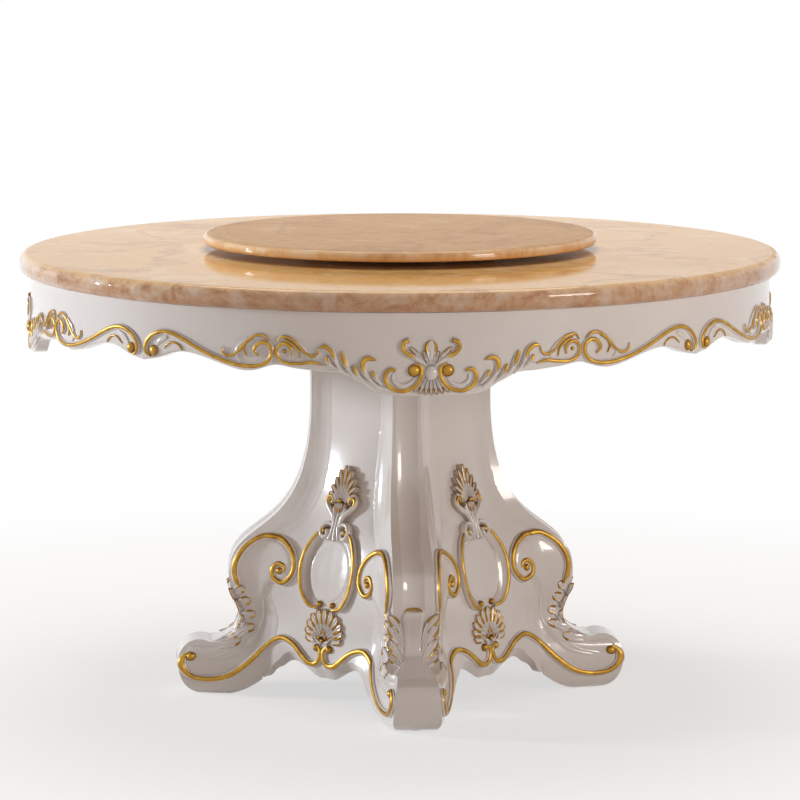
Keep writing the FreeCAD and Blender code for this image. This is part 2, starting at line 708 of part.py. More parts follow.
def panel_radius(height):
    """Distance from the axis to the middle of the panel's face."""
    if height >= PANEL_SWEEP.value(0).z:
        return PANEL_TOP_RADIUS
    if height >= PANEL_LOW_HEIGHT:
        return at_height(PANEL_SWEEP, height)
    below = (PANEL_LOW_HEIGHT - height) / (PANEL_LOW_HEIGHT - SKIRT_FLARE_HEIGHT)
    return PANEL_LOW_RADIUS + SKIRT_FLARE * min(1.0, below)


def bowed(end, middle_radius):
    """Level curve from an end beside one leg to its mirror image beside the next, through a middle radius."""
    mirror = Vector(end.y, end.x, end.z)
    chord = (end - mirror).Length
    end_along = (end.x + end.y) / 2
    pole_along = (4 * middle_radius / math.sqrt(2) - end_along) / 3
    bow = math.sqrt(2) * (pole_along - end_along) / (chord / 3)
    lean = math.pi / 4 + math.asin(max(-1.0, min(1.0, bow)))
    pole = end + Vector(-math.cos(lean), math.sin(lean), 0) * (chord / 3)
    return bezier(end, pole, Vector(pole.y, pole.x, pole.z), mirror)


def panel_level_section(height):
    """Level outline of a panel. Beside the rounded foot its ends run straight down."""
    end_height = max(height, GLIDE_THICKNESS + FOOT_ROUNDING)
    radius = band_radius(end_height) - PANEL_CLEARANCE
    step = mixed(between(end_height, WAIST_HEIGHT, KNEE_HEIGHT), PANEL_LOW_STEP, PANEL_STEP)
    outside = half_width_at(radius, end_height) - step
    face = bowed(Vector(radius, outside, height), panel_radius(height))
    back = bowed(Vector(radius, outside - PANEL_EDGE, height), panel_radius(height) - PANEL_EDGE)
    edges = [
        face.toShape(), line(face.value(1), back.value(1)),
        back.toShape(), line(back.value(0), face.value(0)),
    ]
    return Part.Wire(Part.__sortEdges__(edges))


def skirt_marks():
    """Places on the panel's lower edge: distance from its middle, and height at the panel's back."""
    pendant, arch, offset, end = SKIRT_PENDANT_HEIGHT, SKIRT_ARCH_HEIGHT, SKIRT_ARCH_OFFSET, SKIRT_END_HEIGHT
    half = [
        (0.24 * offset, pendant - 1.0), (0.5 * offset, mixed(0.42, pendant, arch)),
        (0.76 * offset, mixed(0.85, pendant, arch)), (offset, arch), (1.2 * offset, mixed(0.25, arch, end)),
        (1.4 * offset, mixed(0.72, arch, end)), (1.58 * offset, end), (1.76 * offset, end),
    ]
    return [(-along, height) for along, height in reversed(half)] + [(0.0, pendant)] + half


def skirt_outline(distance):
    """Upright outline under the panel's lower edge, at a distance from the axis.

    The edge rises outward, least beside the legs.
    """
    back = PANEL_LOW_RADIUS + SKIRT_FLARE - PANEL_EDGE
    across = Vector(-1, 1, 0) * (1 / math.sqrt(2))
    points = []
    for along, height in skirt_marks():
        bevel = SKIRT_BEVEL * (1 - between(abs(along), SKIRT_ARCH_OFFSET, 1.6 * SKIRT_ARCH_OFFSET))
        points.append(DIAGONAL * distance + across * along + UP * (height + bevel * (distance - back)))
    edge = Part.BSplineCurve()
    edge.interpolate(points)
    left, right = points[0] - across * back, points[-1] + across * back
    floor = UP * (SKIRT_BEVEL * back + FACE_ALLOWANCE)
    outline = [
        edge.toShape(), line(points[-1], right), line(right, right - floor),
        line(right - floor, left - floor), line(left - floor, left), line(left, points[0]),
    ]
    return Part.Wire(outline)


def skirt_cut():
    """Everything under the panel's lower edge."""
    return Part.makeLoft([skirt_outline(PANEL_LOW_RADIUS * share) for share in (0.6, 1.4)], True, True)


def panels():
    levels = [panel_level_section(z) for z in stations(GLIDE_THICKNESS, PEDESTAL_TOP)]
    return four_turns(Part.makeLoft(levels, True, False).cut(skirt_cut()))


def glue_blocks(panel):
    """Blocks in the angle between each web and the back of a panel, near the top, planed to the panel."""
    bottom = PEDESTAL_TOP - GLUE_BLOCK_CLEARANCE - GLUE_BLOCK_LENGTH
    corner = Vector(band_radius(PEDESTAL_TOP) - GLUE_BLOCK_SETBACK, WEB_HALF + GLUE_BLOCK_CLEARANCE, bottom)
    side = GLUE_BLOCK_SIDE
    points = [
        corner, corner + Vector(-2 * side, 0, 0),
        corner + Vector(-side, side, 0), corner + Vector(0, side, 0),
    ]
    blanks = [points, [Vector(p.y, p.x, p.z) for p in points]]
    blocks = []
    for blank in blanks:
        planed = polygon_face(blank).extrude(UP * GLUE_BLOCK_LENGTH).cut(panel)
        inner = min(planed.Solids, key=lambda solid: solid.CenterOfMass.dot(DIAGONAL))
        blocks += four_turns(inner)
    return Part.makeCompound(blocks)


# Serving disc and bearing

BEARING_BOTTOM = TABLE_HEIGHT + GRIP_PAD_THICKNESS
SUSAN_BOTTOM = TABLE_HEIGHT + SUSAN_GAP
UPPER_RING_TOP = SUSAN_BOTTOM - BOND_PAD_THICKNESS
BALL_HEIGHT = (BEARING_BOTTOM + UPPER_RING_TOP) / 2


def race():
    """Groove that the balls roll in."""
    return Part.makeTorus(RACE_RADIUS, BALL_DIAMETER / 2 + BALL_CLEARANCE, Vector(0, 0, BALL_HEIGHT), UP)


def flat_ring(inner, outer, bottom, top):
    base = Vector(0, 0, bottom)
    return cylinder(outer, top - bottom, base).cut(cylinder(inner, top - bottom, base))


def bearing_lower_ring():
    top = BALL_HEIGHT - RING_GAP / 2
    half = RING_WIDTH / 2
    return flat_ring(RACE_RADIUS - half, RACE_RADIUS + half, BEARING_BOTTOM, top).cut(race())


def bearing_upper_ring():
    bottom = BALL_HEIGHT + RING_GAP / 2
    half = RING_WIDTH / 2
    return flat_ring(RACE_RADIUS - half, RACE_RADIUS + half, bottom, UPPER_RING_TOP).cut(race())


def ball_cage():
    half = CAGE_WIDTH / 2
    bottom = BALL_HEIGHT - CAGE_THICKNESS / 2
    ring = flat_ring(RACE_RADIUS - half, RACE_RADIUS + half, bottom, bottom + CAGE_THICKNESS)
    pocket = cylinder(BALL_DIAMETER / 2 + BALL_CLEARANCE, CAGE_THICKNESS, flat(RACE_RADIUS, bottom))
    return ring.cut(Part.makeCompound(ring_of(pocket, BALL_COUNT)))


def bearing_balls():
    ball = Part.makeSphere(BALL_DIAMETER / 2, flat(RACE_RADIUS, BALL_HEIGHT))
    return Part.makeCompound(ring_of(ball, BALL_COUNT))


def bearing_grip_pads():
    pad = cylinder(GRIP_PAD_DIAMETER / 2, GRIP_PAD_THICKNESS, flat(RACE_RADIUS, TABLE_HEIGHT))
    return Part.makeCompound(ring_of(pad, GRIP_PAD_COUNT))


def susan_bond_pads():
    pad = cylinder(BOND_PAD_DIAMETER / 2, BOND_PAD_THICKNESS, flat(RACE_RADIUS, UPPER_RING_TOP))
    return Part.makeCompound(ring_of(pad, BOND_PAD_COUNT))


def susan_disc():
    outer = SUSAN_DIAMETER / 2
    top = SUSAN_BOTTOM + SUSAN_THICKNESS
    edges = [
        line(flat(0, SUSAN_BOTTOM), flat(0, top)),
        line(flat(0, top), flat(outer - SUSAN_UPPER_RADIUS, top)),
        upper_rim(outer, top, SUSAN_UPPER_RADIUS),
        line(flat(outer, top - SUSAN_UPPER_RADIUS), flat(outer, SUSAN_BOTTOM + SUSAN_LOWER_RADIUS)),
        lower_rim(outer, SUSAN_BOTTOM, SUSAN_LOWER_RADIUS),
        line(flat(outer - SUSAN_LOWER_RADIUS, SUSAN_BOTTOM), flat(0, SUSAN_BOTTOM)),
    ]
    return revolved(edges)


def all_parts():
    parts = {}
    for side, leg in zip(SIDES, legs()):
        parts["leg_" + side] = leg
    shaped_panels = panels()
    for corner, panel in zip(CORNERS, shaped_panels):
        parts["panel_" + corner] = panel
    for side, segment in zip(SIDES, apron_segments()):
        parts["apron_" + side] = segment
    parts["cross_beam_x"], parts["cross_beam_y"] = cross_beams()
    parts["core_post"] = core_post()
    parts["leg_dowels"] = leg_dowels()
    parts["glue_blocks"] = glue_blocks(shaped_panels[0])
    parts["foot_glides"] = foot_glides()
    parts["head_board"] = head_board()
    parts["head_screws"] = Part.makeCompound(head_screws())
    parts["frame_bolts"] = frame_bolts()
    parts["frame_washers"] = frame_washers()
    parts["apron_joint_blocks"] = Part.makeCompound(four_turns(joint_block()))
    parts["apron_screws"] = apron_screws()
    parts["marble_pads"] = marble_pads()
    parts["backing_board"] = backing_board()
    parts["marble_edge_ring"] = marble_edge_ring()
    parts["marble_slab"] = marble_slab()
    parts["bearing_grip_pads"] = bearing_grip_pads()
    parts["bearing_lower_ring"] = bearing_lower_ring()
    parts["ball_cage"] = ball_cage()
    parts["bearing_balls"] = bearing_balls()
    parts["bearing_upper_ring"] = bearing_upper_ring()
    parts["susan_bond_pads"] = susan_bond_pads()
    parts["susan_disc"] = susan_disc()
    return parts


def main():
    os.makedirs("parts", exist_ok=True)
    for name, shape in all_parts().items():
        shape.exportStep(os.path.join("parts", name + ".step"))
        print(name, len(shape.Solids), "solids", round(shape.Volume / 1000), "cm3", "valid", shape.isValid())


main()
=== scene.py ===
import math

import bmesh
import bpy
import numpy as np
from mathutils import Matrix, Vector
from mathutils.bvhtree import BVHTree


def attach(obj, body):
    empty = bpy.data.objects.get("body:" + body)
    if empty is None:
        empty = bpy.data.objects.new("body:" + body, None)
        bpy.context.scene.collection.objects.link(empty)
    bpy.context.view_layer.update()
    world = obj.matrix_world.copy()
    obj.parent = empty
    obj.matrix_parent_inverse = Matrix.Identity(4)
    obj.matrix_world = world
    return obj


# Looks of a round pedestal table: honey marble, ivory lacquer and gilded carving.
# The carving is drawn in millimetres on the surface that carries it, then laid onto the frame.

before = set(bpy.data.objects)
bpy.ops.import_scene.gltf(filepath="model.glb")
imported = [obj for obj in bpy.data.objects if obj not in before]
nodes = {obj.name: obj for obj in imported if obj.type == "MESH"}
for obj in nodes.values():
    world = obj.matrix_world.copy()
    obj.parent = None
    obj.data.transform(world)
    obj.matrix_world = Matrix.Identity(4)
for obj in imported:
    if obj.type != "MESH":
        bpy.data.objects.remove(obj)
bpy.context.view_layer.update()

MM = 0.001
SIDES = {"right": 0, "back": 90, "left": 180, "front": -90}
CORNERS = {"back_right": 45, "back_left": 135, "front_left": -135, "front_right": -45}

# Camera and floor
CAMERA_DISTANCE = 6.8125
CAMERA_HEIGHT = 1.5047
CAMERA_TURN = math.radians(-4.4)
CAMERA_PITCH = math.radians(8.2)
CAMERA_LENS = 172.9
CAMERA_SENSOR = 36.0
CAMERA_CLIP = 100.0
FLOOR_REACH = 30                # m

# Light. A lamp has its place, its target, its size in m, its power in W and its colour.
WORLD_COLOUR = (1.0, 0.81, 0.69, 1.0)
WORLD_STRENGTH = 0.21
KEY = ((-5.8, 1.0, 1.30), (0, 0, 0.40), 0.60, 236, (0.86, 0.93, 1.0))
FILL = ((2.9, -3.1, 1.4), (0, 0, 0.45), 1.0, 46, (1.0, 0.93, 0.88))
TOP_LIGHT = ((0.0, 0.6, 3.2), (0, 0, 0.7), 2.2, 54, (1.0, 0.96, 0.91))

# Carving sizes, in mm
SCROLL_WIDTH = 5.2              # half of a scroll's width
SCROLL_HEIGHT = 5.5
SCROLL_TIP = 18.0               # length over which a scroll thins at its ends
SINK = 2.5                      # depth of a carving's foot under the surface
PATH_STEP = 2.2                 # between two rings of a sweep
OUTLINE_STEP = 6.0              # between two corners of a patch's outline
FIELD_STEP = 3.0                # between two readings of a surface
SPAN_SAMPLES = 14               # places worked out between two points of a line
PATCH_DIP = 1.5                 # depth of a patch under its surface outside its outline
DOME_SIDES = 16
SHARP_ANGLE = math.radians(62)

# Surfaces that carry the carving, in mm
APRON_RADIUS = 656.0
PANEL_HALF_WIDTH = 261.0
PANEL_LOW, PANEL_HIGH = 6.0, 687.0
CALF_HALF_WIDTH = 48.0

# Colours, and the places of the four tones of a stone's rim
WHITE = (1.0, 1.0, 1.0, 1.0)
VEIN_BROWN = (0.40, 0.19, 0.07)
# umber used as painted shade in the hollows of the carving
HOLLOW_SHADE_UMBER = (0.45, 0.34, 0.27)
# dark gold painted at the foot of gilded bands as painted shade
GILT_FOOT_SHADE = (0.24, 0.105, 0.018)
RIM_STOPS = (0.34, 0.47, 0.56, 0.68)


# Materials

def add_node(tree, kind, values=None, **settings):
    node = tree.nodes.new(kind)
    for name, value in settings.items():
        setattr(node, name, value)
    for name, value in (values or {}).items():
        node.inputs[name].default_value = value
    return node


def new_material(name):
    material = bpy.data.materials.new(name)
    material.use_nodes = True
    tree = material.node_tree
    return material, tree, tree.nodes["Principled BSDF"]


def noise(tree, place, scale, detail=4.0, roughness=0.55, distortion=0.0):
    node = add_node(tree, "ShaderNodeTexNoise", {
        "Scale": scale, "Detail": detail, "Roughness": roughness, "Distortion": distortion})
    tree.links.new(place, node.inputs["Vector"])
    return node.outputs["Fac"]


def ramp(tree, value, stops):
    node = add_node(tree, "ShaderNodeValToRGB")
    elements = node.color_ramp.elements
    while len(elements) < len(stops):
        elements.new(0.5)
    for element, (position, colour) in zip(elements, stops):
        element.position = position
        element.color = (*colour, 1.0)
    tree.links.new(value, node.inputs["Fac"])
    return node.outputs["Color"]


def spread(tree, value, low, high, from_low=0.0, from_high=1.0):
    node = add_node(tree, "ShaderNodeMapRange", {
        "From Min": from_low, "From Max": from_high, "To Min": low, "To Max": high})
    tree.links.new(value, node.inputs["Value"])
    return node.outputs["Result"]


def mixed_colour(tree, share, first, second):
    node = add_node(tree, "ShaderNodeMix", data_type="RGBA", blend_type="MIX")
    tree.links.new(share, node.inputs["Factor"])
    for name, value in (("A", first), ("B", second)):
        socket = [s for s in node.inputs if s.name == name and s.type == "RGBA"][0]
        if isinstance(value, tuple):
            socket.default_value = (*value, 1.0)
        else:
            tree.links.new(value, socket)
    return [s for s in node.outputs if s.type == "RGBA"][0]


def bump(tree, shader, value, strength, distance):
    node = add_node(tree, "ShaderNodeBump", {"Strength": strength, "Distance": distance})
    tree.links.new(value, node.inputs["Height"])
    tree.links.new(node.outputs["Normal"], shader.inputs["Normal"])


def object_place(tree):
    return add_node(tree, "ShaderNodeTexCoord").outputs["Object"]


def warped_place(tree, place, scale, amount):
    """Object coordinates pushed about by a soft noise, so that veins wander."""
    push = add_node(tree, "ShaderNodeTexNoise", {"Scale": scale, "Detail": 3.0})
    tree.links.new(place, push.inputs["Vector"])
    centred = add_node(tree, "ShaderNodeVectorMath", operation="SUBTRACT")
    centred.inputs[1].default_value = (0.5, 0.5, 0.5)
    tree.links.new(push.outputs["Color"], centred.inputs[0])
    scaled = add_node(tree, "ShaderNodeVectorMath", {"Scale": amount}, operation="SCALE")
    tree.links.new(centred.outputs["Vector"], scaled.inputs[0])
    moved = add_node(tree, "ShaderNodeVectorMath", operation="ADD")
    tree.links.new(place, moved.inputs[0])
    tree.links.new(scaled.outputs["Vector"], moved.inputs[1])
    return moved.outputs["Vector"]


def marble(name, warm, deep, pale, rim_tones, gloss):
    """Polished honey marble: clouds, pale crystal patches and thin brown veins, with a mottled worked rim
    whose lower part is darkened as painted shade.
    """
    material, tree, shader = new_material(name)
    place = object_place(tree)
    wander = warped_place(tree, place, 3.0, 0.22)
    clouds = ramp(tree, noise(tree, wander, 4.5, 9.0, 0.62), [
        (0.30, deep), (0.46, warm), (0.60, warm), (0.72, pale)])
    patches = spread(tree, noise(tree, wander, 11.0, 6.0, 0.6), 0.0, 0.6, 0.55, 0.70)
    colour = mixed_colour(tree, patches, clouds, pale)
    cells = add_node(
        tree, "ShaderNodeTexVoronoi", {"Scale": 6.5, "Randomness": 1.0}, feature="DISTANCE_TO_EDGE")
    tree.links.new(wander, cells.inputs["Vector"])
    crackle = add_node(tree, "ShaderNodeMath", operation="MULTIPLY")
    tree.links.new(spread(tree, cells.outputs["Distance"], 0.4, 0.0, 0.0, 0.024), crackle.inputs[0])
    tree.links.new(spread(tree, noise(tree, place, 5.0, 4.0), 0.0, 1.0, 0.48, 0.68), crackle.inputs[1])
    colour = mixed_colour(tree, crackle.outputs["Value"], colour, pale)
    ridge = add_node(tree, "ShaderNodeMath", operation="ABSOLUTE")
    offset = add_node(tree, "ShaderNodeMath", operation="SUBTRACT")
    offset.inputs[1].default_value = 0.5
    tree.links.new(noise(tree, wander, 2.4, 5.0, 0.5), offset.inputs[0])
    tree.links.new(offset.outputs["Value"], ridge.inputs[0])
    vein = spread(tree, ridge.outputs["Value"], 0.5, 0.0, 0.0, 0.016)
    colour = mixed_colour(tree, vein, colour, VEIN_BROWN)
    grain = spread(tree, noise(tree, place, 60.0, 7.0, 0.7), 0.0, 0.55, 0.45, 0.75)
    colour = mixed_colour(tree, grain, colour, deep)
    facing = add_node(tree, "ShaderNodeNewGeometry")
    split = add_node(tree, "ShaderNodeSeparateXYZ")
    tree.links.new(facing.outputs["Normal"], split.inputs["Vector"])
    rim = spread(tree, split.outputs["Z"], 0.85, 0.0, 0.55, 0.95)
    mottle = ramp(tree, noise(tree, wander, 26.0, 9.0, 0.72), list(zip(RIM_STOPS, rim_tones)))
    colour = mixed_colour(tree, rim, colour, mottle)
    # Painted shade: the rim darkens towards its downward-facing lower part, in the darkest rim tone.
    painted_lower_rim_shade = spread(tree, split.outputs["Z"], 0.5, 0.0, -0.4, 0.5)
    colour = mixed_colour(tree, painted_lower_rim_shade, colour, rim_tones[0])
    tree.links.new(colour, shader.inputs["Base Color"])
    tree.links.new(spread(tree, noise(tree, place, 30.0), 0.04, 0.11), shader.inputs["Roughness"])
    shader.inputs["IOR"].default_value = gloss
    tree.links.new(spread(tree, split.outputs["Z"], 0.8, 0.0, 0.90, 0.998), shader.inputs["Coat Weight"])
    shader.inputs["Coat Roughness"].default_value = 0.06
    bump(tree, shader, noise(tree, place, 90.0, 2.0), 0.02, 0.0004)
    return material


def lacquer(name, carved=False):
    """Ivory piano lacquer with a faint ripple. On carving, the low foot of the relief is darkened towards
    umber as painted shade in the hollows.
    """
    material, tree, shader = new_material(name)
    place = object_place(tree)
    tone = ramp(tree, noise(tree, place, 5.0, 3.0), [
        (0.35, (0.745, 0.700, 0.675)), (0.65, (0.785, 0.745, 0.725))])
    if carved:
        rise = add_node(tree, "ShaderNodeAttribute", attribute_name="rise").outputs["Fac"]
        # Painted shade: lacquer on the carving darkens towards umber where the relief is low, at its foot.
        hollow_shade = spread(tree, rise, 0.75, 0.0, 0.0, 0.42)
        tone = mixed_colour(tree, hollow_shade, tone, HOLLOW_SHADE_UMBER)
    tree.links.new(tone, shader.inputs["Base Color"])
    tree.links.new(spread(tree, noise(tree, place, 18.0), 0.13, 0.24), shader.inputs["Roughness"])
    shader.inputs["Coat Weight"].default_value = 0.6
    shader.inputs["Coat Roughness"].default_value = 0.05
    bump(tree, shader, noise(tree, place, 26.0, 2.0), 0.05, 0.0006)
    return material


def gilt(name):
    """Antique gold paint with rubbed wear at random; each gilded band is painted browner towards its foot as
    painted shade, so its crown stays brightest.
    """
    material, tree, shader = new_material(name)
    place = object_place(tree)
    rise = add_node(tree, "ShaderNodeAttribute", attribute_name="rise").outputs["Fac"]
    worn = ramp(tree, noise(tree, place, 60.0, 5.0, 0.65), [
        (0.30, (0.35, 0.170, 0.020)), (0.55, (0.52, 0.290, 0.036)), (0.75, (0.70, 0.450, 0.090))])
    # Painted shade: the gold darkens from each band's crown down to its foot.
    shade = spread(tree, rise, 0.8, 0.0, 0.5, 0.95)
    colour = mixed_colour(tree, shade, worn, GILT_FOOT_SHADE)
    tree.links.new(colour, shader.inputs["Base Color"])
    shader.inputs["Metallic"].default_value = 0.66
    tree.links.new(spread(tree, noise(tree, place, 120.0), 0.24, 0.42), shader.inputs["Roughness"])
    bump(tree, shader, noise(tree, place, 220.0, 3.0), 0.15, 0.0005)
    return material


def bare_wood(name, light, dark):
    material, tree, shader = new_material(name)
    place = object_place(tree)
    stretched = add_node(tree, "ShaderNodeMapping", {"Scale": (4.0, 4.0, 30.0)})
    tree.links.new(place, stretched.inputs["Vector"])
    bands = noise(tree, stretched.outputs["Vector"], 3.0, 6.0, 0.6, 1.2)
    tree.links.new(ramp(tree, bands, [(0.35, dark), (0.65, light)]), shader.inputs["Base Color"])
    tree.links.new(spread(tree, bands, 0.5, 0.7), shader.inputs["Roughness"])
    bump(tree, shader, bands, 0.12, 0.0006)
    return material


def metal(name, low, high, roughness, metallic=1.0):
    material, tree, shader = new_material(name)
    place = object_place(tree)
    speck = noise(tree, place, 160.0, 3.0)
    tree.links.new(ramp(tree, speck, [(0.35, low), (0.65, high)]), shader.inputs["Base Color"])
    tree.links.new(spread(tree, speck, roughness * 0.8, roughness * 1.25), shader.inputs["Roughness"])
    shader.inputs["Metallic"].default_value = metallic
    bump(tree, shader, speck, 0.04, 0.0003)
    return material


def clear_pad(name):
    material, tree, shader = new_material(name)
    cloud = noise(tree, object_place(tree), 90.0)
    tone = ramp(tree, cloud, [(0.3, (0.62, 0.64, 0.63)), (0.7, (0.72, 0.74, 0.73))])
    tree.links.new(tone, shader.inputs["Base Color"])
    tree.links.new(spread(tree, cloud, 0.25, 0.4), shader.inputs["Roughness"])
    shader.inputs["Transmission Weight"].default_value = 0.5
    return material


# The first of the four rim tones also serves as the painted shade on the lower rim.
MARBLE = marble(
    "honey_marble", (0.78, 0.48, 0.19), (0.57, 0.29, 0.08), (0.86, 0.66, 0.42),
    ((0.34, 0.14, 0.06), (0.70, 0.42, 0.24), (0.78, 0.58, 0.43), (0.86, 0.75, 0.66)), 1.10)
# A darker copy of the top's honey marble for the lazy susan: its darker top tones paint the shade that lies
# on the disc.
SUSAN_SHADED_MARBLE = marble(
    "susan_marble_darkened_as_shade", (0.56, 0.31, 0.11), (0.38, 0.18, 0.05), (0.72, 0.50, 0.28),
    ((0.66, 0.36, 0.14), (0.88, 0.58, 0.29), (0.92, 0.68, 0.42), (0.95, 0.80, 0.62)), 1.03)
LACQUER = lacquer("ivory_lacquer")
# Lacquer for the carving, with painted shade in its hollows
CARVED = lacquer("carved_lacquer", carved=True)
# Gold paint with random wear, and painted shade at the foot of each band
GILT = gilt("antique_gilt")
POPLAR = bare_wood("poplar", (0.62, 0.46, 0.29), (0.50, 0.35, 0.20))
BEECH = bare_wood("beech", (0.68, 0.48, 0.31), (0.57, 0.37, 0.22))
FIBREBOARD = bare_wood("fibreboard", (0.45, 0.32, 0.20), (0.38, 0.26, 0.16))
BLACK_STEEL = metal("black_steel", (0.012, 0.012, 0.013), (0.03, 0.03, 0.032), 0.22, 0.6)
STEEL = metal("zinc_steel", (0.50, 0.50, 0.51), (0.62, 0.62, 0.63), 0.32)
NYLON = metal("black_nylon", (0.015, 0.015, 0.016), (0.03, 0.03, 0.03), 0.5, 0.0)
CLEAR = clear_pad("clear_gel")

# Starts of node names: the first that fits gives the material
NODE_MATERIALS = (
    ("leg_dowels", BEECH),
    ("leg_", LACQUER),
    ("panel_", LACQUER),
    ("apron_joint", POPLAR),
    ("apron_screws", STEEL),
    ("apron_", LACQUER),
    ("cross_beam", POPLAR),
    ("core_post", POPLAR),
    ("glue_blocks", POPLAR),
    ("head_board", FIBREBOARD),
    ("head_screws", STEEL),
    ("frame_", STEEL),
    ("foot_glides", NYLON),
    ("marble_pads", CLEAR),
    ("backing_board", FIBREBOARD),
    ("marble_", MARBLE),
    ("susan_bond", CLEAR),
    ("susan_disc", SUSAN_SHADED_MARBLE),
    ("bearing_grip", CLEAR),
    ("bearing_balls", STEEL),
    ("ball_cage", STEEL),
    ("bearing_", BLACK_STEEL),
)


def dress_frame():
    for name, node in nodes.items():
        material = next(finish for start, finish in NODE_MATERIALS if name.startswith(start))
        node.data.materials.clear()
        node.data.materials.append(material)


# Surfaces that carry the carving

def eased(value, low, high):
    share = np.clip((value - low) / (high - low), 0.0, 1.0)
    return share * share * (3 - 2 * share)


def blurred(values, cells):
    """Soft average over a few grid cells, twice each way."""
    for _ in range(2):
        for axis in (0, 1):
            before = np.repeat(np.take(values, [0], axis), cells, axis)
            after = np.repeat(np.take(values, [-1], axis), cells, axis)
            padded = np.concatenate([before, values, after], axis)
            total = sum(np.take(padded, range(k, k + values.shape[axis]), axis) for k in range(2 * cells + 1))
            values = total / (2 * cells + 1)
    return values


def grid_value(grid, across, up, s, z):
    """Value between the places of an even grid."""
    i = np.clip((s - across[0]) / FIELD_STEP, 0, len(across) - 1.001)
    j = np.clip((z - up[0]) / FIELD_STEP, 0, len(up) - 1.001)
    a, b = int(i), int(j)
    u, v = i - a, j - b
    return ((1 - u) * (1 - v) * grid[a, b] + u * (1 - v) * grid[a + 1, b]
            + (1 - u) * v * grid[a, b + 1] + u * v * grid[a + 1, b + 1])


class Relief:
    """The pedestal's face seen along one level direction: how far it stands out, at places across and up."""

    CORE_REACH = 0.05                       # m from the axis; nothing nearer is a face

    def __init__(self, names, degrees, half_width, low, high):
        self.angle = math.radians(degrees)
        self.across = np.arange(-half_width, half_width + 0.1, FIELD_STEP)
        self.up = np.arange(low, high + 0.1, FIELD_STEP)
        corners, faces, owners = [], [], []
        for name in names:
            mesh = nodes[name].data
            start = len(corners)
            corners += [v.co for v in mesh.vertices]
            faces += [[start + i for i in p.vertices] for p in mesh.polygons]
            owners += [name] * len(mesh.polygons)
        tree = BVHTree.FromPolygons(corners, faces)
        outward = Vector((math.cos(self.angle), math.sin(self.angle), 0))
        sideways = Vector((-math.sin(self.angle), math.cos(self.angle), 0))
        self.out = np.full((len(self.across), len(self.up)), np.nan)
        self.on_panel = np.zeros(self.out.shape, bool)
        for i, s in enumerate(self.across):
            for j, z in enumerate(self.up):
                start = outward + sideways * (s * MM) + Vector((0, 0, z * MM))
                place, _, face, _ = tree.ray_cast(start, -outward)
                if place is not None and place.dot(outward) > self.CORE_REACH:
                    self.out[i, j] = place.dot(outward) / MM
                    self.on_panel[i, j] = owners[face].startswith("panel")
        self.covered = ~np.isnan(self.out)
        self.fill()
        soft = blurred(self.out, 1)
        self.slope_across, self.slope_up = np.gradient(soft, FIELD_STEP)

    def fill(self):
        """Carries the outermost reading on past the edges."""
        for j in range(len(self.up)):
            known = np.flatnonzero(self.covered[:, j])
            if len(known):
                self.out[:, j] = np.interp(np.arange(len(self.across)), known, self.out[known, j])
        rows = np.flatnonzero(~np.isnan(self.out).any(axis=0))
        for i in range(len(self.across)):
            self.out[i] = np.interp(np.arange(len(self.up)), rows, self.out[i, rows])

    def read(self, grid, s, z):
        return grid_value(grid, self.across, self.up, s, z)

    def at(self, s, z, height):
        slope = (-self.read(self.slope_across, s, z), -self.read(self.slope_up, s, z), 1.0)
        lean = Vector(slope).normalized() * height
        s_moved, z_moved, out = s + lean.x, z + lean.y, self.read(self.out, s, z) + lean.z
        cos, sin = math.cos(self.angle), math.sin(self.angle)
        return Vector((out * cos - s_moved * sin, out * sin + s_moved * cos, z_moved)) * MM


class Hollow:
    """The hollow front of a calf, read from a level line in front of it.

    Places are in mm across and along, up from the toe.
    """

    CENTRE_REACH, CENTRE_HEIGHT = 400.0, 190.0
    LOWEST, HIGHEST = 64.0, -16.0           # degrees under the level
    PER_DEGREE = 1.92                       # mm along the calf
    EDGE_STEP = 5.0                         # mm; a larger step lies past the calf's edge

    def __init__(self, name, degrees, half_width):
        self.angle = math.radians(degrees)
        self.across = np.arange(-half_width, half_width + 0.1, FIELD_STEP)
        self.up = np.arange(0.0, (self.LOWEST - self.HIGHEST) * self.PER_DEGREE, FIELD_STEP)
        tree = BVHTree.FromObject(nodes[name], bpy.context.evaluated_depsgraph_get())
        self.deep = np.zeros((len(self.across), len(self.up)))
        for i, s in enumerate(self.across):
            for j, along in enumerate(self.up):
                start, ahead = self.spot(s, along, 0.0), self.spot(s, along, 1.0)
                place, _, _, far = tree.ray_cast(start, (ahead - start).normalized())
                self.deep[i, j] = far / MM if place is not None else np.inf
        self.fill()

    def fill(self):
        """Carries the last reading on the calf's front on past its two edges."""
        middle = len(self.across) // 2
        for j in range(len(self.up)):
            for way in (-1, 1):
                i = middle
                while 0 <= i + way < len(self.across):
                    if abs(self.deep[i + way, j] - self.deep[i, j]) > self.EDGE_STEP:
                        self.deep[i + way, j] = self.deep[i, j]
                    i += way

    def spot(self, s, along, far):
        lean = math.radians(self.LOWEST - along / self.PER_DEGREE)
        out, z = self.CENTRE_REACH - far * math.cos(lean), self.CENTRE_HEIGHT - far * math.sin(lean)
        cos, sin = math.cos(self.angle), math.sin(self.angle)
        return Vector((out * cos - s * sin, out * sin + s * cos, z)) * MM

    def at(self, s, along, height):
        return self.spot(s, along, grid_value(self.deep, self.across, self.up, s, along) - height)


class Drum:
    """The apron's round face. Places are given in mm along it from the middle of a segment, and up."""

    def __init__(self, degrees, radius):
        self.angle = math.radians(degrees)
        self.radius = radius

    def at(self, s, z, height):
        turn = self.angle + s / self.radius
        reach = self.radius + height
        return Vector((reach * math.cos(turn), reach * math.sin(turn), z)) * MM

    def along(self, degrees, z):
        return math.radians(degrees) * self.radius, z


# Carving shapes

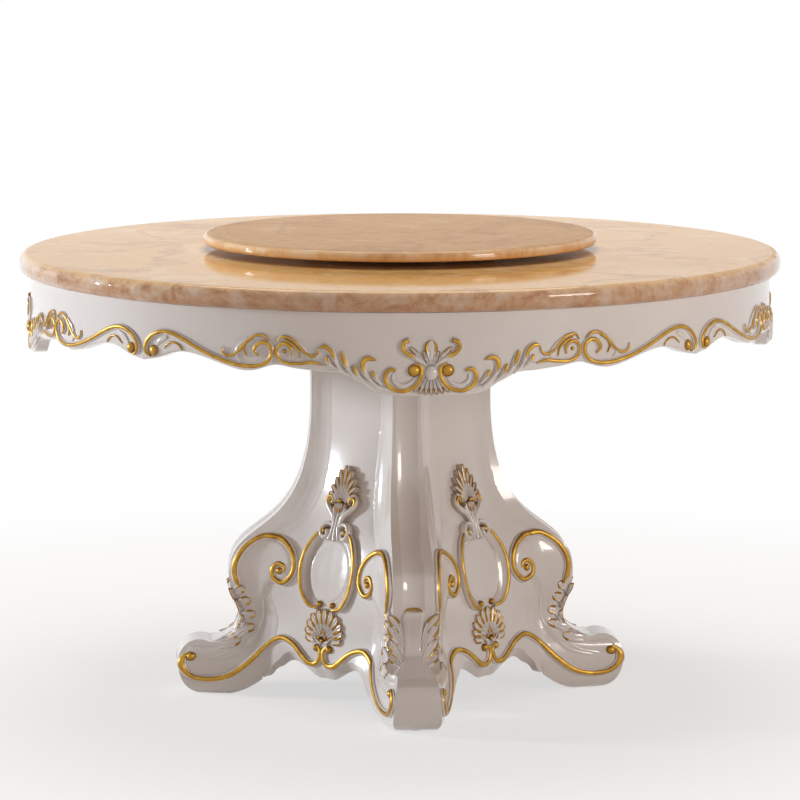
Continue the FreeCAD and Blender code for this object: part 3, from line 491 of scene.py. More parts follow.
def smooth_path(points, step=PATH_STEP):
    """Evenly spaced places on a smooth line through the given ones."""
    knots = np.array(points, float)
    gaps = np.maximum(np.linalg.norm(np.diff(knots, axis=0), axis=1), 1e-6) ** 0.5
    times = np.concatenate([[0.0], np.cumsum(gaps)])
    slopes = np.gradient(knots, times, axis=0)
    line = []
    for k in range(len(knots) - 1):
        span = times[k + 1] - times[k]
        for share in np.linspace(0, 1, SPAN_SAMPLES, endpoint=False):
            a, b = share ** 2, share ** 3
            line.append((2 * b - 3 * a + 1) * knots[k] + (b - 2 * a + share) * span * slopes[k]
                        + (3 * a - 2 * b) * knots[k + 1] + (b - a) * span * slopes[k + 1])
    line = np.array(line + [knots[-1]])
    run = np.concatenate([[0.0], np.cumsum(np.linalg.norm(np.diff(line, axis=0), axis=1))])
    count = max(6, int(run[-1] / step))
    marks = np.linspace(0, run[-1], count + 1)
    return np.stack([np.interp(marks, run, line[:, axis]) for axis in (0, 1)], axis=1)


# Cross-sections, as (share of half the width, share of the height)
SCROLL = ((-1.0, 0.0), (-0.98, 0.30), (-0.85, 0.48), (-0.64, 0.58), (-0.54, 0.82), (-0.22, 1.0),
          (0.22, 1.0), (0.54, 0.82), (0.64, 0.58), (0.85, 0.48), (0.98, 0.30), (1.0, 0.0))
SCROLL_GILT = range(3, 8)
SCROLL_CROWN = 5                # the middle facet of the gilding
GILT_POINT = 2                  # rings by which each next facet's gilding starts later
COVE = ((-1.0, 0.0), (-0.99, 0.50), (-0.96, 0.72), (-0.92, 0.80), (-0.82, 0.95), (-0.60, 1.0), (-0.38, 0.95),
        (-0.26, 0.80), (-0.12, 0.52), (0.12, 0.30), (0.50, 0.16), (1.0, 0.0))
COVE_GILT = range(3, 7)
COVE_TURNED = tuple((-a, b) for a, b in reversed(COVE))
COVE_TURNED_GILT = range(4, 8)
PETAL = ((-1.0, 0.0), (-1.0, 0.55), (-0.80, 0.95), (-0.50, 0.66), (-0.18, 0.72), (0.0, 0.86),
         (0.18, 0.72), (0.50, 0.66), (0.80, 0.95), (1.0, 0.55), (1.0, 0.0))
PETAL_GILT = (1, 2, 7, 8)
SWELL = ((-1.0, 0.0), (-0.75, 0.10), (-0.45, 0.45), (-0.20, 0.85), (0.0, 1.0), (0.20, 0.85), (0.45, 0.45),
         (0.75, 0.10), (1.0, 0.0))
ROLL = ((-1.0, 0.0), (-0.92, 0.45), (-0.65, 0.80), (-0.25, 1.0), (0.25, 1.0), (0.65, 0.80), (0.92, 0.45),
        (1.0, 0.0))
ROLL_GILT = range(1, 6)


class Carving:
    """Closed raised shapes on one surface, gathered into a mesh with lacquered and gilded faces."""

    def __init__(self, surface):
        self.surface = surface
        self.points, self.rise, self.faces, self.gilded = [], [], [], []

    def add_point(self, s, z, height, rise):
        self.points.append(self.surface.at(s, z, height))
        self.rise.append(rise)
        return len(self.points) - 1

    def add_face(self, corners, gilded=False):
        self.faces.append(corners)
        self.gilded.append(gilded)

    def sweep(self, path, width, height, section, gilded=(), lift=0.0, gilt_from=0.0):
        """A raised band along a path. Width and height are functions of the share of the way along.

        Where the gilding of a scroll starts on the way, it starts in a point.
        """
        rings = []
        ahead = np.gradient(path, axis=0)
        for k, (s, z) in enumerate(path):
            share = k / (len(path) - 1)
            ds, dz = ahead[k] / max(1e-6, np.linalg.norm(ahead[k]))
            half, tall = width(share), height(share)
            ring = []
            for a, b in section:
                rise = 1.0 if section is SWELL else b
                ring.append(self.add_point(s - dz * half * a, z + ds * half * a, lift + tall * b, rise))
            for a in (section[-1][0], section[0][0]):
                ring.append(self.add_point(s - dz * half * a, z + ds * half * a, -SINK, 0.0))
            rings.append(ring)
        count = len(rings[0])
        pointed = section is SCROLL and gilt_from > 0
        for k in range(len(rings) - 1):
            for m in range(count):
                n = (m + 1) % count
                begin = gilt_from * len(rings) + (GILT_POINT * abs(m - SCROLL_CROWN) if pointed else 0)
                corners = (rings[k][m], rings[k][n], rings[k + 1][n], rings[k + 1][m])
                self.add_face(corners, m in gilded and k >= begin)
        self.add_face(tuple(reversed(rings[0])))
        self.add_face(tuple(rings[-1]), bool(gilded))

    def scroll(self, points, width=SCROLL_WIDTH, height=SCROLL_HEIGHT, start=0.5, end=0.5, lift=0.0,
               gilt_from=0.0):
        """A bead with a gilded crown, thinner at its two ends."""
        path = smooth_path(points)
        tip = min(0.3, SCROLL_TIP / (PATH_STEP * len(path)))

        def thin(share):
            if share < 0.5:
                return start + (1 - start) * eased(share, 0, tip)
            return end + (1 - end) * eased(1 - share, 0, tip)

        self.sweep(path, lambda u: width * thin(u), lambda u: height * (0.6 + 0.4 * thin(u)),
                   SCROLL, SCROLL_GILT, lift, gilt_from)

    def ridge(self, points, width, height, start=0.6, end=0.3, gilded=False):
        """A plain rounded ridge."""
        path = smooth_path(points)

        def thin(share):
            return (start + (end - start) * share) + (1 - max(start, end)) * math.sin(math.pi * share)

        self.sweep(path, lambda u: width * thin(u), lambda u: height * (0.5 + 0.5 * thin(u)),
                   ROLL, ROLL_GILT if gilded else ())

    def petal(self, points, root, widest, height, lift=0.0, gilt_from=0.35, section=PETAL,
              gilded=PETAL_GILT):
        """A leaf lobe: narrow root, widest near its rounded tip, with raised gilded edges."""
        path = smooth_path(points)

        def half(share):
            body = root + (widest - root) * eased(share, 0.0, 0.7)
            return body * math.sqrt(max(0.02, 1 - max(0.0, (share - 0.72) / 0.28) ** 2))

        def tall(share):
            return height * (0.55 + 0.45 * math.sin(math.pi * min(1.0, 0.25 + 0.6 * share)))

        self.sweep(path, half, tall, section, gilded, lift, gilt_from)

    def dome(self, s, z, radius, height, gilded=True, tall=1.0, lift=0.0):
        """A bead: a dome with a short foot. Tall is its length up, as a share of its width."""
        levels = [(1.0, -SINK, 0.0), (1.0, lift, 0.15)]
        for degrees in (20, 40, 60, 76):
            slope = math.radians(degrees)
            levels.append((math.cos(slope), lift + height * math.sin(slope), 0.5 + degrees / 160))
        rings = []
        for share, level, rise in levels:
            ring = []
            for k in range(DOME_SIDES):
                turn = 2 * math.pi * k / DOME_SIDES
                across = s + radius * share * math.cos(turn)
                up = z + radius * tall * share * math.sin(turn)
                ring.append(self.add_point(across, up, level, rise))
            rings.append(ring)
        for k in range(len(rings) - 1):
            for m in range(DOME_SIDES):
                n = (m + 1) % DOME_SIDES
                self.add_face((rings[k][m], rings[k][n], rings[k + 1][n], rings[k + 1][m]), gilded)
        self.add_face(tuple(reversed(rings[0])), gilded)
        crown = self.add_point(s, z, lift + height, 1.0)
        for m in range(DOME_SIDES):
            self.add_face((rings[-1][m], rings[-1][(m + 1) % DOME_SIDES], crown), gilded)

    def patch(self, across, up, heights, keep):
        """A raised area given by its height at each place of a grid, closed underneath."""
        top, under = {}, {}
        cells = []
        for i in range(len(across) - 1):
            for j in range(len(up) - 1):
                corners = ((i, j), (i + 1, j), (i + 1, j + 1), (i, j + 1))
                if any(keep[c] for c in corners):
                    cells.append(corners)
        edges = {}
        for corners in cells:
            for c in corners:
                if c not in top:
                    s, z = across[c[0]], up[c[1]]
                    top[c] = self.add_point(s, z, heights[c], 1.0)
                    under[c] = self.add_point(s, z, min(heights[c], 0.0) - SINK, 0.0)
            self.add_face(tuple(top[c] for c in corners))
            self.add_face(tuple(under[c] for c in reversed(corners)))
            for a, b in zip(corners, corners[1:] + corners[:1]):
                if (b, a) in edges:
                    edges.pop((b, a))
                else:
                    edges[(a, b)] = True
        for a, b in edges:
            self.add_face((top[b], top[a], under[a], under[b]))

    def mesh(self, name):
        data = bpy.data.meshes.new(name)
        data.from_pydata(self.points, [], self.faces)
        data.materials.append(CARVED)
        data.materials.append(GILT)
        data.polygons.foreach_set("material_index", [int(g) for g in self.gilded])
        data.polygons.foreach_set("use_smooth", [True] * len(self.faces))
        data.attributes.new("rise", "FLOAT", "POINT").data.foreach_set("value", self.rise)
        shape = bmesh.new()
        shape.from_mesh(data)
        bmesh.ops.recalc_face_normals(shape, faces=shape.faces)
        shape.to_mesh(data)
        shape.free()
        data.set_sharp_from_angle(angle=SHARP_ANGLE)
        return data


def place_turns(carving, name, places, made_for):
    """Sets one copy of a carving at each of its places round the table."""
    data = carving.mesh(name)
    for place, degrees in places.items():
        copy = data.copy()
        copy.transform(Matrix.Rotation(math.radians(degrees - made_for), 4, "Z"))
        piece = bpy.data.objects.new(name + "_" + place, copy)
        bpy.context.scene.collection.objects.link(piece)
        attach(piece, "base")
    bpy.data.meshes.remove(data)


def both_ways(points, side):
    """The points as they are for side 1, or mirrored for side -1."""
    return [(side * s, z) for s, z in points]


def polygon_distance(across, up, outline):
    """Signed distance from each grid place to a closed outline, positive inside."""
    s, z = np.meshgrid(across, up, indexing="ij")
    ring = np.array(outline, float)
    nearest = np.full(s.shape, 1e9)
    inside = np.zeros(s.shape, bool)
    for (x0, y0), (x1, y1) in zip(ring, np.roll(ring, -1, axis=0)):
        length = (x1 - x0) ** 2 + (y1 - y0) ** 2 + 1e-9
        share = np.clip(((s - x0) * (x1 - x0) + (z - y0) * (y1 - y0)) / length, 0, 1)
        nearest = np.minimum(nearest, np.hypot(s - x0 - share * (x1 - x0), z - y0 - share * (y1 - y0)))
        if y0 != y1:
            crosses = ((y0 > z) != (y1 > z)) & (s < (x1 - x0) * (z - y0) / (y1 - y0) + x0)
            inside ^= crosses
    return np.where(inside, nearest, -nearest)


# Apron carving, in degrees from the middle of a segment and mm above the floor

APRON_TIE = [(2.4, 676.5), (1.55, 673), (1.3, 664), (1.6, 650), (2.6, 637.5), (4.3, 632), (5.8, 639),
             (6.45, 652), (6.25, 663), (5.6, 668), (5.0, 665)]
APRON_TIE_RIDGE = [(5.4, 660), (5.35, 650), (4.3, 640.5), (3.0, 645), (2.2, 655)]
APRON_HORN = [(0.6, 674), (1.2, 679.5), (2.4, 687.5), (3.5, 694.5), (4.0, 703), (3.8, 712), (3.1, 715)]
APRON_STEM = [(5.6, 633), (7.4, 638), (9.6, 649), (11.6, 660), (13.4, 668), (15.2, 672.5)]
APRON_INNER_HOOD = [(15.9, 700), (16.1, 692), (16.8, 687), (17.8, 691.5), (18.9, 705), (20.2, 716),
                    (21.5, 717), (22.0, 709)]
APRON_INNER_LOOP = [(15.4, 673), (16.8, 677), (18.7, 674.5), (20.6, 674.5), (21.8, 682), (22.15, 694),
                    (21.5, 705), (20.5, 705), (19.9, 696), (20.0, 686)]
APRON_OUTER_HOOD = [(23.1, 710), (23.9, 717.5), (25.4, 717.5), (26.8, 705.5), (28.1, 690), (29.5, 682),
                    (30.5, 687), (30.6, 696)]
APRON_LONG = [(24.9, 684), (25.5, 692), (25.1, 702), (24.0, 707.5), (23.0, 700), (22.9, 687), (23.6, 675),
              (25.2, 668), (27.6, 667.5), (30.0, 672.5), (32.5, 681.5), (34.8, 692), (37.0, 703.5),
              (39.2, 712), (41.0, 713.5), (42.6, 707.5), (43.7, 697), (44.2, 685), (44.0, 675), (43.3, 671)]
APRON_LONG_SPUR = [(37.4, 685), (38.2, 694.5), (39.5, 696.5), (40.8, 686)]
# Line, half width at the root and half width near the tip
APRON_LEAVES = (
    ([(7.4, 638), (8.6, 650), (9.5, 664), (9.6, 678), (8.9, 685.5), (7.7, 682)], 3.0, 6.2),
    ([(7.0, 643), (7.8, 653), (8.4, 665)], 3.0, 5.2),
    ([(9.2, 646), (10.4, 658), (11.0, 674)], 3.0, 5.2),
    ([(10.4, 653), (11.6, 666), (12.2, 680), (12.7, 696)], 3.0, 5.8),
    ([(11.9, 659), (13.0, 670), (13.6, 684), (14.2, 697), (15.1, 703.5), (15.9, 701)], 3.0, 5.6),
    ([(13.4, 668), (14.4, 676), (14.9, 688)], 2.5, 4.8),
)
APRON_FAN = [(-2.5, 630), (-1.7, 627), (-0.85, 625.5), (0.0, 625), (0.85, 625.5), (1.7, 627), (2.5, 630)]


def apron_carving():
    """Gilded scrolls and leaves that run both ways from a tied flower at the middle of a segment."""
    drum = Drum(SIDES["front"], APRON_RADIUS)
    carving = Carving(drum)

    def on(points, side):
        return both_ways([drum.along(a, z) for a, z in points], side)

    carving.dome(0.0, 662.0, 11.3, 8.5, gilded=False, tall=1.15)
    for angle, z in APRON_FAN:
        carving.petal([drum.along(angle * 0.4, 653), drum.along(angle, z)], 1.8, 3.4, 5.0, gilt_from=0.5)
    carving.petal([(0.0, 676.0), (0.0, 696.0), (0.0, 715.0)], 3.0, 10.5, 6.5, gilt_from=0.45)
    for side in (-1, 1):
        carving.petal(on([(0.3, 675), (0.7, 687), (1.15, 698)], side), 2.0, 3.6, 6.0, gilt_from=0.5)
        carving.petal(on([(0.9, 678), (1.9, 692), (3.0, 704)], side), 2.0, 3.8, 5.0, gilt_from=0.5)
        carving.scroll(on(APRON_TIE, side), end=0.75)
        carving.ridge(on(APRON_TIE_RIDGE, side), 4.4, 4.4, 0.3, 0.3)
        carving.dome(*on([(2.4, 665.5)], side)[0], 10.6, 8.5)
        carving.scroll(on(APRON_HORN, side), 5.2, 6.5, end=1.0, gilt_from=0.3)
        for leaf, root, widest in APRON_LEAVES:
            carving.petal(on(leaf, side), root, widest, 7.0, gilt_from=0.42, section=SCROLL,
                          gilded=SCROLL_GILT)
        carving.ridge(on(APRON_STEM, side), 5.0, 3.5, 0.6, 0.5)
        carving.scroll(on(APRON_INNER_HOOD, side), 3.6, 4.5)
        carving.ridge(on([(21.0, 713), (19.7, 705), (18.9, 695), (18.7, 683)], side), 3.2, 4.8, gilded=True)
        carving.ridge(on([(19.6, 713), (18.4, 702), (17.7, 692), (17.5, 682)], side), 4.2, 3.6)
        carving.scroll(on(APRON_INNER_LOOP, side), 4.2, 5.2)
        carving.dome(*on([(21.0, 693.5)], side)[0], 3.4, 4.5)
        carving.scroll(on(APRON_OUTER_HOOD, side), 3.6, 4.5)
        carving.ridge(on([(25.6, 714), (26.8, 705), (27.2, 695), (26.8, 683)], side), 3.2, 4.8, gilded=True)
        carving.ridge(on([(26.5, 712), (28.0, 698), (28.4, 684), (27.8, 675)], side), 4.2, 3.6)
        carving.scroll(on(APRON_LONG, side), 5.0, 6.0)
        carving.dome(*on([(42.7, 680.5)], side)[0], 8.4, 6.5, tall=1.15)
        carving.ridge(on(APRON_LONG_SPUR, side), 2.4, 3.6, gilded=True)
        carving.ridge(on([(40.2, 705), (41.4, 698), (42.2, 689)], side), 5.0, 3.0)
    place_turns(carving, "apron_scrollwork", SIDES, SIDES["front"])


# Pedestal carving, in mm across from the middle of a panel and above the floor

KNEE_SCROLL = [(175, 194), (182, 216), (182, 238), (168, 268), (140, 287), (106, 280), (83, 257), (79, 228),
               (97, 208.5), (116, 216), (119, 230), (110, 241), (98, 237), (97, 229)]
KNEE_OUTSIDE = 9                # points of the scroll that bound the cheek, before the spiral turns in
SKIRT_LINE = [(12, 106), (4.5, 99), (4, 86), (13, 75), (29, 75), (48, 88), (70, 103), (97, 109), (122, 95),
              (148, 63), (178, 38), (210, 30.5), (236, 36), (249, 53), (248, 69), (240, 76)]
CALF_LINE = [(99, 209), (120, 205), (134, 176), (139, 140), (149, 104), (168, 78), (205, 63)]
FOOT_CORNERS = [(250, 56), (300, 76), (300, 194)]
CARTOUCHE = [(17, 176), (34, 182), (49, 203), (56, 235), (52, 265), (41, 286), (29, 301), (22, 308)]
CARTOUCHE_MIDDLE, CARTOUCHE_WIDE, CARTOUCHE_TALL = 238, 46, 54
CREST_TIPS = ((0.0, 420.0), (12.0, 411.0), (21.5, 398.0), (28.0, 384.0), (30.0, 370.0))
CREST_VOLUTE = [(7, 316), (12, 332), (23, 342), (31, 352), (29, 362), (21, 363), (18, 356), (23, 352)]
CREST_EAR = [(6, 312), (15, 318), (26, 315), (32, 306), (29, 296), (21, 294), (17, 300), (20, 306)]
SHELL_FOOT = 113.0
SHELL_LOBES = 5                 # on each side of the middle one
SHELL_SPREAD = 16.0             # degrees between two lobes
SHELL_FLOWER = ((0, 116, 4.0), (-8, 121, 3.2), (8, 121, 3.2), (-4.5, 129, 3.0), (4.5, 129, 3.0),
                (0, 135, 2.6))
LEG_FROM = 120.0                # the legs' front edges lie further out than this
CHEEK_ON_PANEL, CHEEK_ON_LEG = 5.5, 2.0
FILLET_CELLS = 4                # readings over which the hollow is rounded
FILLET_DIP = 1.2
FILLET_WIDTH = (13.0, 24.0)     # from the joint: where the fillet is whole, and where it ends
FILLET_FOOT = (36.0, 60.0)      # above the floor: where the fillet starts, and where it is whole
CREST_LIFT = 8.0


def leg_side(relief, side):
    """1 on a leg's side and 0 past its front edge or on the steep top of its foot, softened between."""
    reach = relief.across * side
    front_edge = reach[np.argmax(np.where(reach[:, None] > LEG_FROM, relief.out, 0.0), axis=0)]
    steep = np.hypot(relief.slope_across, relief.slope_up)
    return blurred(eased(front_edge[None, :] - reach[:, None], 2.0, 10.0) * (1 - eased(steep, 0.9, 1.5)), 1)


def row_ends(across, marked):
    """The furthest marked place across, in each row."""
    return np.array([np.max(across[marked[:, j]], initial=0.0) for j in range(marked.shape[1])])


def knee_cheek(carving, relief, side):
    """The raised cheek inside the knee's scroll, which runs on down the calf and dies out on the foot."""
    head = smooth_path(KNEE_SCROLL[:KNEE_OUTSIDE], OUTLINE_STEP).tolist()
    inner = smooth_path(CALF_LINE, OUTLINE_STEP).tolist()
    distance = polygon_distance(relief.across * side, relief.up, head + inner + FOOT_CORNERS)
    edge = row_ends(relief.across, relief.covered)
    to_edge = edge[None, :] - relief.across[:, None] * side
    plate = eased(distance, -2.0, 9.0) * np.where(relief.on_panel, CHEEK_ON_PANEL, CHEEK_ON_LEG)
    smooth = blurred(relief.out + plate, 1)
    fade = eased(to_edge, 6.0, 22.0) * eased(distance, -7.0, -1.0) * eased(relief.up[None, :], 50.0, 84.0)
    fade = fade * leg_side(relief, side)
    heights = (smooth - relief.out) * fade - PATCH_DIP * (1 - fade)
    carving.patch(relief.across, relief.up, heights, heights > -1.0)


def column_fillet(carving, relief, side):
    """The soft hollow where a leg's side runs into the panel, from the head board down to the skirt."""
    across = relief.across * side
    joint = row_ends(across, relief.on_panel)
    from_joint = np.abs(across[:, None] - joint[None, :])
    smooth = np.maximum(blurred(relief.out, FILLET_CELLS), relief.out) + 0.3
    inside = eased(blurred(relief.covered.astype(float), 1), 0.8, 1.0)
    fade = (1 - eased(from_joint, *FILLET_WIDTH)) * eased(relief.up[None, :], *FILLET_FOOT) * inside
    heights = (smooth - relief.out) * fade - FILLET_DIP * (1 - fade)
    carving.patch(relief.across, relief.up, heights, heights > -0.9)


def cartouche_plate(carving, relief):
    """The low swelling inside the oval frame."""
    turns = np.linspace(0, 2 * math.pi, 40, endpoint=False)
    outline = [(CARTOUCHE_WIDE * math.sin(a), CARTOUCHE_MIDDLE + CARTOUCHE_TALL * math.cos(a)) for a in turns]
    distance = polygon_distance(relief.across, relief.up, outline)
    heights = eased(distance, -1.0, 4.0) * 1.2 + eased(distance, 0.0, CARTOUCHE_WIDE) * 0.8
    carving.patch(relief.across, relief.up, heights - PATCH_DIP * (distance < -1.0), distance > -PATCH_DIP)


def crest(relief):
    """Leaf crest that stands out over the cartouche on a fluted stem, between two volutes and two ears."""
    carving = Carving(relief)
    for s in (-7.0, 0.0, 7.0):
        carving.ridge([(s * 1.7, 290), (s, 306), (s * 0.9, 322), (s * 1.9, 346)], 4.6, 13.0, 0.8, 0.8)
    carving.petal([(0.0, 346), (0.0, 376), (0.0, 408)], 11.0, 17.0, 7.5, gilded=())
    for reach, (tip_s, tip_z) in enumerate(CREST_TIPS):
        for side in ((1,) if reach == 0 else (-1, 1)):
            root = (side * 2.2 * reach, 360.0 - reach)
            middle = (side * (tip_s * 0.5), 0.45 * root[1] + 0.55 * tip_z - 2.0)
            lobe = [root, middle, (side * tip_s, tip_z)]
            carving.petal(lobe, 2.2, 4.8, 6.5, lift=CREST_LIFT, gilt_from=0.42)
    for side in (-1, 1):
        carving.scroll(both_ways(CREST_VOLUTE, side), 4.4, 6.0, lift=CREST_LIFT, gilt_from=0.5)
        leaf = both_ways([(5, 334), (9, 343), (11, 353)], side)
        carving.petal(leaf, 2.0, 3.4, 4.5, lift=CREST_LIFT, gilt_from=0.5)
        carving.ridge(both_ways(CREST_EAR, side), 5.0, 14.0, 0.8, 0.8)
        carving.dome(side * 24.0, 304.0, 5.4, 6.5, lift=CREST_LIFT)
    for s, z in ((-5.0, 338.0), (0.0, 334.0), (5.0, 338.0)):
        carving.petal([(s * 0.6, 353), (s, 346), (s, z)], 1.6, 2.6, 5.0, lift=9.0, gilt_from=0.4)
    carving.dome(0.0, 357.0, 4.6, 6.0, lift=13.0)
    place_turns(carving, "crest", CORNERS, CORNERS["front_right"])


def cartouche(relief):
    """Oval frame round a bare plate: a gilded bead on the outside and a wide white cove inside it."""
    carving = Carving(relief)
    cartouche_plate(carving, relief)

    def thinner(share):
        return 3.0 * (1 - eased(share, 0.0, 0.14))

    for side, section, gilded in ((1, COVE, COVE_GILT), (-1, COVE_TURNED, COVE_TURNED_GILT)):
        path = smooth_path(both_ways(CARTOUCHE, side))
        carving.sweep(path, lambda u: 10.5 - 4.5 * eased(u, 0.82, 1.0) - thinner(u),
                      lambda u: 11.0 - thinner(u), section, gilded)
        carving.dome(side * 15.0, 179.5, 5.8, 8.5)
    place_turns(carving, "cartouche", CORNERS, CORNERS["front_right"])


def shell(relief):
    """Scallop shell over the middle of the skirt, with a small flower at its hinge."""
    carving = Carving(relief)
    for step in range(-SHELL_LOBES, SHELL_LOBES + 1):
        turn = math.radians(step * SHELL_SPREAD)
        reach = 60.0 - 0.75 * step * step
        tip = (reach * math.sin(turn), SHELL_FOOT + reach * math.cos(turn))
        root = (10.0 * math.sin(turn), SHELL_FOOT + 10.0 * math.cos(turn))
        middle = ((tip[0] + root[0]) / 2, (tip[1] + root[1]) / 2)
        carving.petal([root, middle, tip], 2.4, 8.6, 8.0 - 0.15 * abs(step), gilt_from=0.42)
    for s, z, size in SHELL_FLOWER:
        carving.dome(s, z, size, size * 1.2, lift=5.0)
    for side in (-1, 1):
        carving.petal(both_ways([(4, 111), (14, 116), (22, 125)], side), 2.5, 4.2, 6.0, lift=2.0)
    place_turns(carving, "shell", CORNERS, CORNERS["front_right"])


def knee_scrolls(relief):
    """Spirals on the knees with the cheeks inside them and two soft flutes down each calf."""
    carving = Carving(relief)
    for side in (-1, 1):
        knee_cheek(carving, relief, side)
        carving.scroll(both_ways(KNEE_SCROLL, side), 6.6, 8.5, start=0.4, end=0.75)
        carving.dome(side * 105.5, 228.5, 7.2, 8.0, lift=2.5)
        for shift in (2.0, 18.0):
            flute = [(side * (s + shift * (1 - 0.35 * (z < 96))), z + 0.15 * shift) for s, z in CALF_LINE[1:]]
            carving.sweep(smooth_path(flute), lambda u: 8.0 - 3.0 * u,
                          lambda u: 3.2 * math.sin(math.pi * min(1.0, 0.12 + 0.85 * u)), SWELL)
    place_turns(carving, "knee_scrolls", CORNERS, CORNERS["front_right"])


def skirt_scrolls(relief):
    """The long scroll that follows the skirt's edge from the shell to the toe."""
    carving = Carving(relief)
    for side in (-1, 1):
        carving.scroll(both_ways(SKIRT_LINE, side), 6.6, 6.8, start=0.7, end=0.65)
        carving.dome(side * 15.0, 102.0, 7.0, 8.0)
        carving.dome(side * 237.0, 70.0, 8.0, 8.5)
    place_turns(carving, "skirt_scrolls", CORNERS, CORNERS["front_right"])


def column_fillets(relief):
    """The fillets beside the two legs that a panel joins."""
    carving = Carving(relief)
    for side in (-1, 1):
        column_fillet(carving, relief, side)
    place_turns(carving, "column_fillets", CORNERS, CORNERS["front_right"])


ACANTHUS_TONGUE = [(15, 137), (21, 122), (18, 98), (17, 66), (22, 46), (33, 26), (39, 8)]
TONGUE_HEIGHT = 5.5
ACANTHUS_TIPS = (126, 103, 80, 58)
ACANTHUS_FOLDS = (
    [(189, 177), (182, 187), (167, 195)],
    [(182, 154), (175, 166), (160, 174)],
    [(176, 127), (170, 141), (154, 149)],
    [(177, 105), (168, 117), (152, 124)],
    [(196, 90), (184, 93), (168, 101)],
)


def acanthus():
    """Leaf on the hollow of each calf: a plain square-ended tongue between two rows of upswept lobes."""
    hollow = Hollow("leg_front", SIDES["front"], CALF_HALF_WIDTH)
    carving = Carving(hollow)
    outline = ACANTHUS_TONGUE + both_ways(ACANTHUS_TONGUE[::-1], -1)
    distance = polygon_distance(hollow.across, hollow.up, outline)
    heights = eased(distance, -1.0, 4.0) * TONGUE_HEIGHT * eased(hollow.up[None, :], 6.0, 40.0)
    carving.patch(hollow.across, hollow.up, heights - PATCH_DIP * (distance < -1.0), distance > -PATCH_DIP)
    carving.ridge([(-15, 132), (-11, 136.5), (11, 136.5), (15, 132)], 2.4, 7.6, 0.6, 0.6, gilded=True)
    carving.ridge([(0, 48), (0, 85), (0, 122)], 1.6, 6.6, 0.3, 0.5)
    for side in (-1, 1):
        for step, tip in enumerate(ACANTHUS_TIPS):
            root = 0.62 * tip - 6.0
            line = [(17.0, root), (26.0, 0.5 * root + 0.5 * tip - 1.0), (43.0, tip)]
            carving.petal(both_ways(line, side), 4.2, 9.0, 7.5 - 0.6 * step, gilt_from=0.55)
    place_turns(carving, "acanthus", SIDES, SIDES["front"])


def acanthus_folds(relief):
    """Where the lobes of that leaf fold over the leg's edges: curled tips with gilded rims."""
    carving = Carving(relief)
    for side in (-1, 1):
        for fold in ACANTHUS_FOLDS:
            carving.petal(both_ways(fold, side), 6.4, 8.6, 5.4, gilt_from=0.6)
    place_turns(carving, "acanthus_folds", CORNERS, CORNERS["front_right"])


# Stage

def add_camera():
    data = bpy.data.cameras.new("camera")
    data.lens = CAMERA_LENS
    data.sensor_width = CAMERA_SENSOR
    data.clip_end = CAMERA_CLIP
    camera = bpy.data.objects.new("camera", data)
    camera.location = (
        CAMERA_DISTANCE * math.sin(CAMERA_TURN), -CAMERA_DISTANCE * math.cos(CAMERA_TURN), CAMERA_HEIGHT)
    camera.rotation_euler = (math.pi / 2 - CAMERA_PITCH, 0, CAMERA_TURN)
    bpy.context.scene.collection.objects.link(camera)
    bpy.context.scene.camera = camera


def add_lamp(name, place, target, size, energy, colour):
    data = bpy.data.lights.new(name, "AREA")
    data.size = size
    data.energy = energy
    data.color = colour
    lamp = bpy.data.objects.new(name, data)
    lamp.location = place
    lamp.rotation_euler = (Vector(target) - Vector(place)).to_track_quat("-Z", "Y").to_euler()
    bpy.context.scene.collection.objects.link(lamp)


def seen_directly(tree):
    """1 for rays from the camera, and for those that mirrors and glass send on."""
    path = add_node(tree, "ShaderNodeLightPath")
    either = add_node(tree, "ShaderNodeMath", operation="MAXIMUM")
    tree.links.new(path.outputs["Is Camera Ray"], either.inputs[0])
    tree.links.new(path.outputs["Is Glossy Ray"], either.inputs[1])
    any_of = add_node(tree, "ShaderNodeMath", operation="MAXIMUM")
    tree.links.new(either.outputs["Value"], any_of.inputs[0])
    tree.links.new(path.outputs["Is Transmission Ray"], any_of.inputs[1])
    return any_of.outputs["Value"]


def add_world():
    """Soft warm light from all round, behind a white backdrop."""
    world = bpy.data.worlds.new("world")
    bpy.context.scene.world = world
    world.use_nodes = True
    tree = world.node_tree
    light = tree.nodes["Background"]
    light.inputs["Color"].default_value = WORLD_COLOUR
    light.inputs["Strength"].default_value = WORLD_STRENGTH
    seen = add_node(tree, "ShaderNodeBackground", {"Color": WHITE, "Strength": 1.0})
    mix = add_node(tree, "ShaderNodeMixShader")
    tree.links.new(seen_directly(tree), mix.inputs["Fac"])
    tree.links.new(light.outputs["Background"], mix.inputs[1])
    tree.links.new(seen.outputs["Background"], mix.inputs[2])
    tree.links.new(mix.outputs["Shader"], tree.nodes["World Output"].inputs["Surface"])


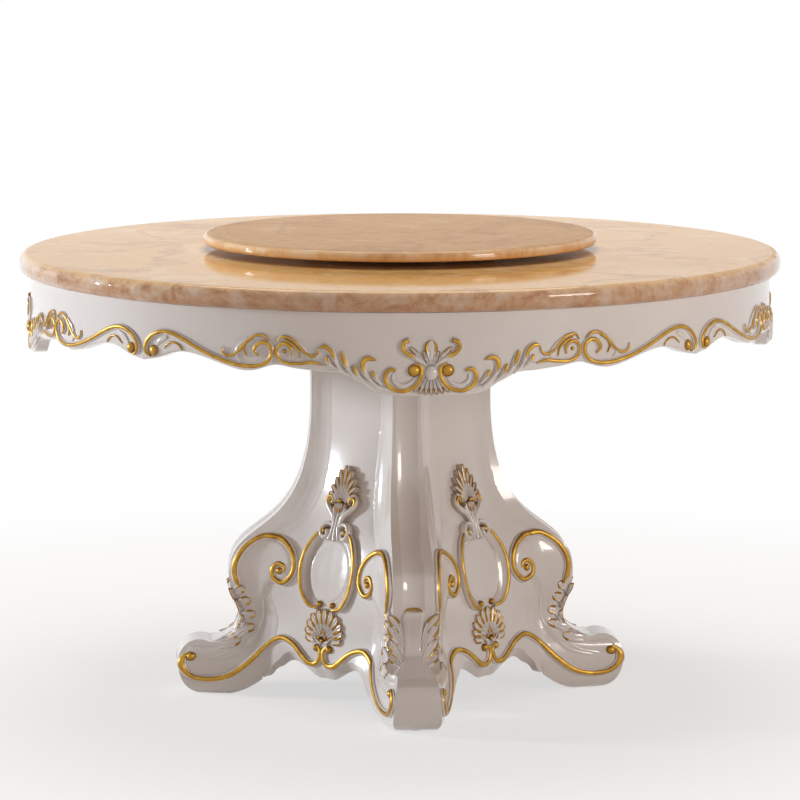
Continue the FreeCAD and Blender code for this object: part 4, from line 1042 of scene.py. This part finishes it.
def add_floor():
    """Pale floor that turns to the white of the backdrop away from the table's shadow."""
    mesh = bpy.data.meshes.new("floor")
    far = FLOOR_REACH
    mesh.from_pydata([(-far, -far, 0), (far, -far, 0), (far, far, 0), (-far, far, 0)], [], [(0, 1, 2, 3)])
    floor = bpy.data.objects.new("floor", mesh)
    bpy.context.scene.collection.objects.link(floor)
    material, tree, shader = new_material("pale_floor")
    place = object_place(tree)
    cloud = noise(tree, place, 2.0)
    tone = ramp(tree, cloud, [(0.3, (0.88, 0.84, 0.80)), (0.7, (0.91, 0.87, 0.83))])
    tree.links.new(tone, shader.inputs["Base Color"])
    tree.links.new(spread(tree, cloud, 0.75, 0.9), shader.inputs["Roughness"])
    reach = add_node(tree, "ShaderNodeVectorMath", operation="LENGTH")
    tree.links.new(place, reach.inputs[0])
    white = add_node(tree, "ShaderNodeMath", operation="MULTIPLY")
    tree.links.new(spread(tree, reach.outputs["Value"], 0.62, 1.0, 0.5, 2.0), white.inputs[0])
    tree.links.new(seen_directly(tree), white.inputs[1])
    glow = add_node(tree, "ShaderNodeEmission", {"Color": WHITE, "Strength": 1.0})
    mix = add_node(tree, "ShaderNodeMixShader")
    tree.links.new(white.outputs["Value"], mix.inputs["Fac"])
    tree.links.new(shader.outputs["BSDF"], mix.inputs[1])
    tree.links.new(glow.outputs["Emission"], mix.inputs[2])
    tree.links.new(mix.outputs["Shader"], tree.nodes["Material Output"].inputs["Surface"])
    mesh.materials.append(material)


dress_frame()
panel_face = Relief(["panel_front_right", "leg_front", "leg_right"], CORNERS["front_right"],
                    PANEL_HALF_WIDTH, PANEL_LOW, PANEL_HIGH)
apron_carving()
column_fillets(panel_face)
knee_scrolls(panel_face)
skirt_scrolls(panel_face)
cartouche(panel_face)
crest(panel_face)
shell(panel_face)
acanthus()
acanthus_folds(panel_face)

add_camera()
add_world()
add_floor()
add_lamp("key", *KEY)
add_lamp("fill", *FILL)
add_lamp("top_light", *TOP_LIGHT)
bpy.context.scene.view_settings.view_transform = "Standard"
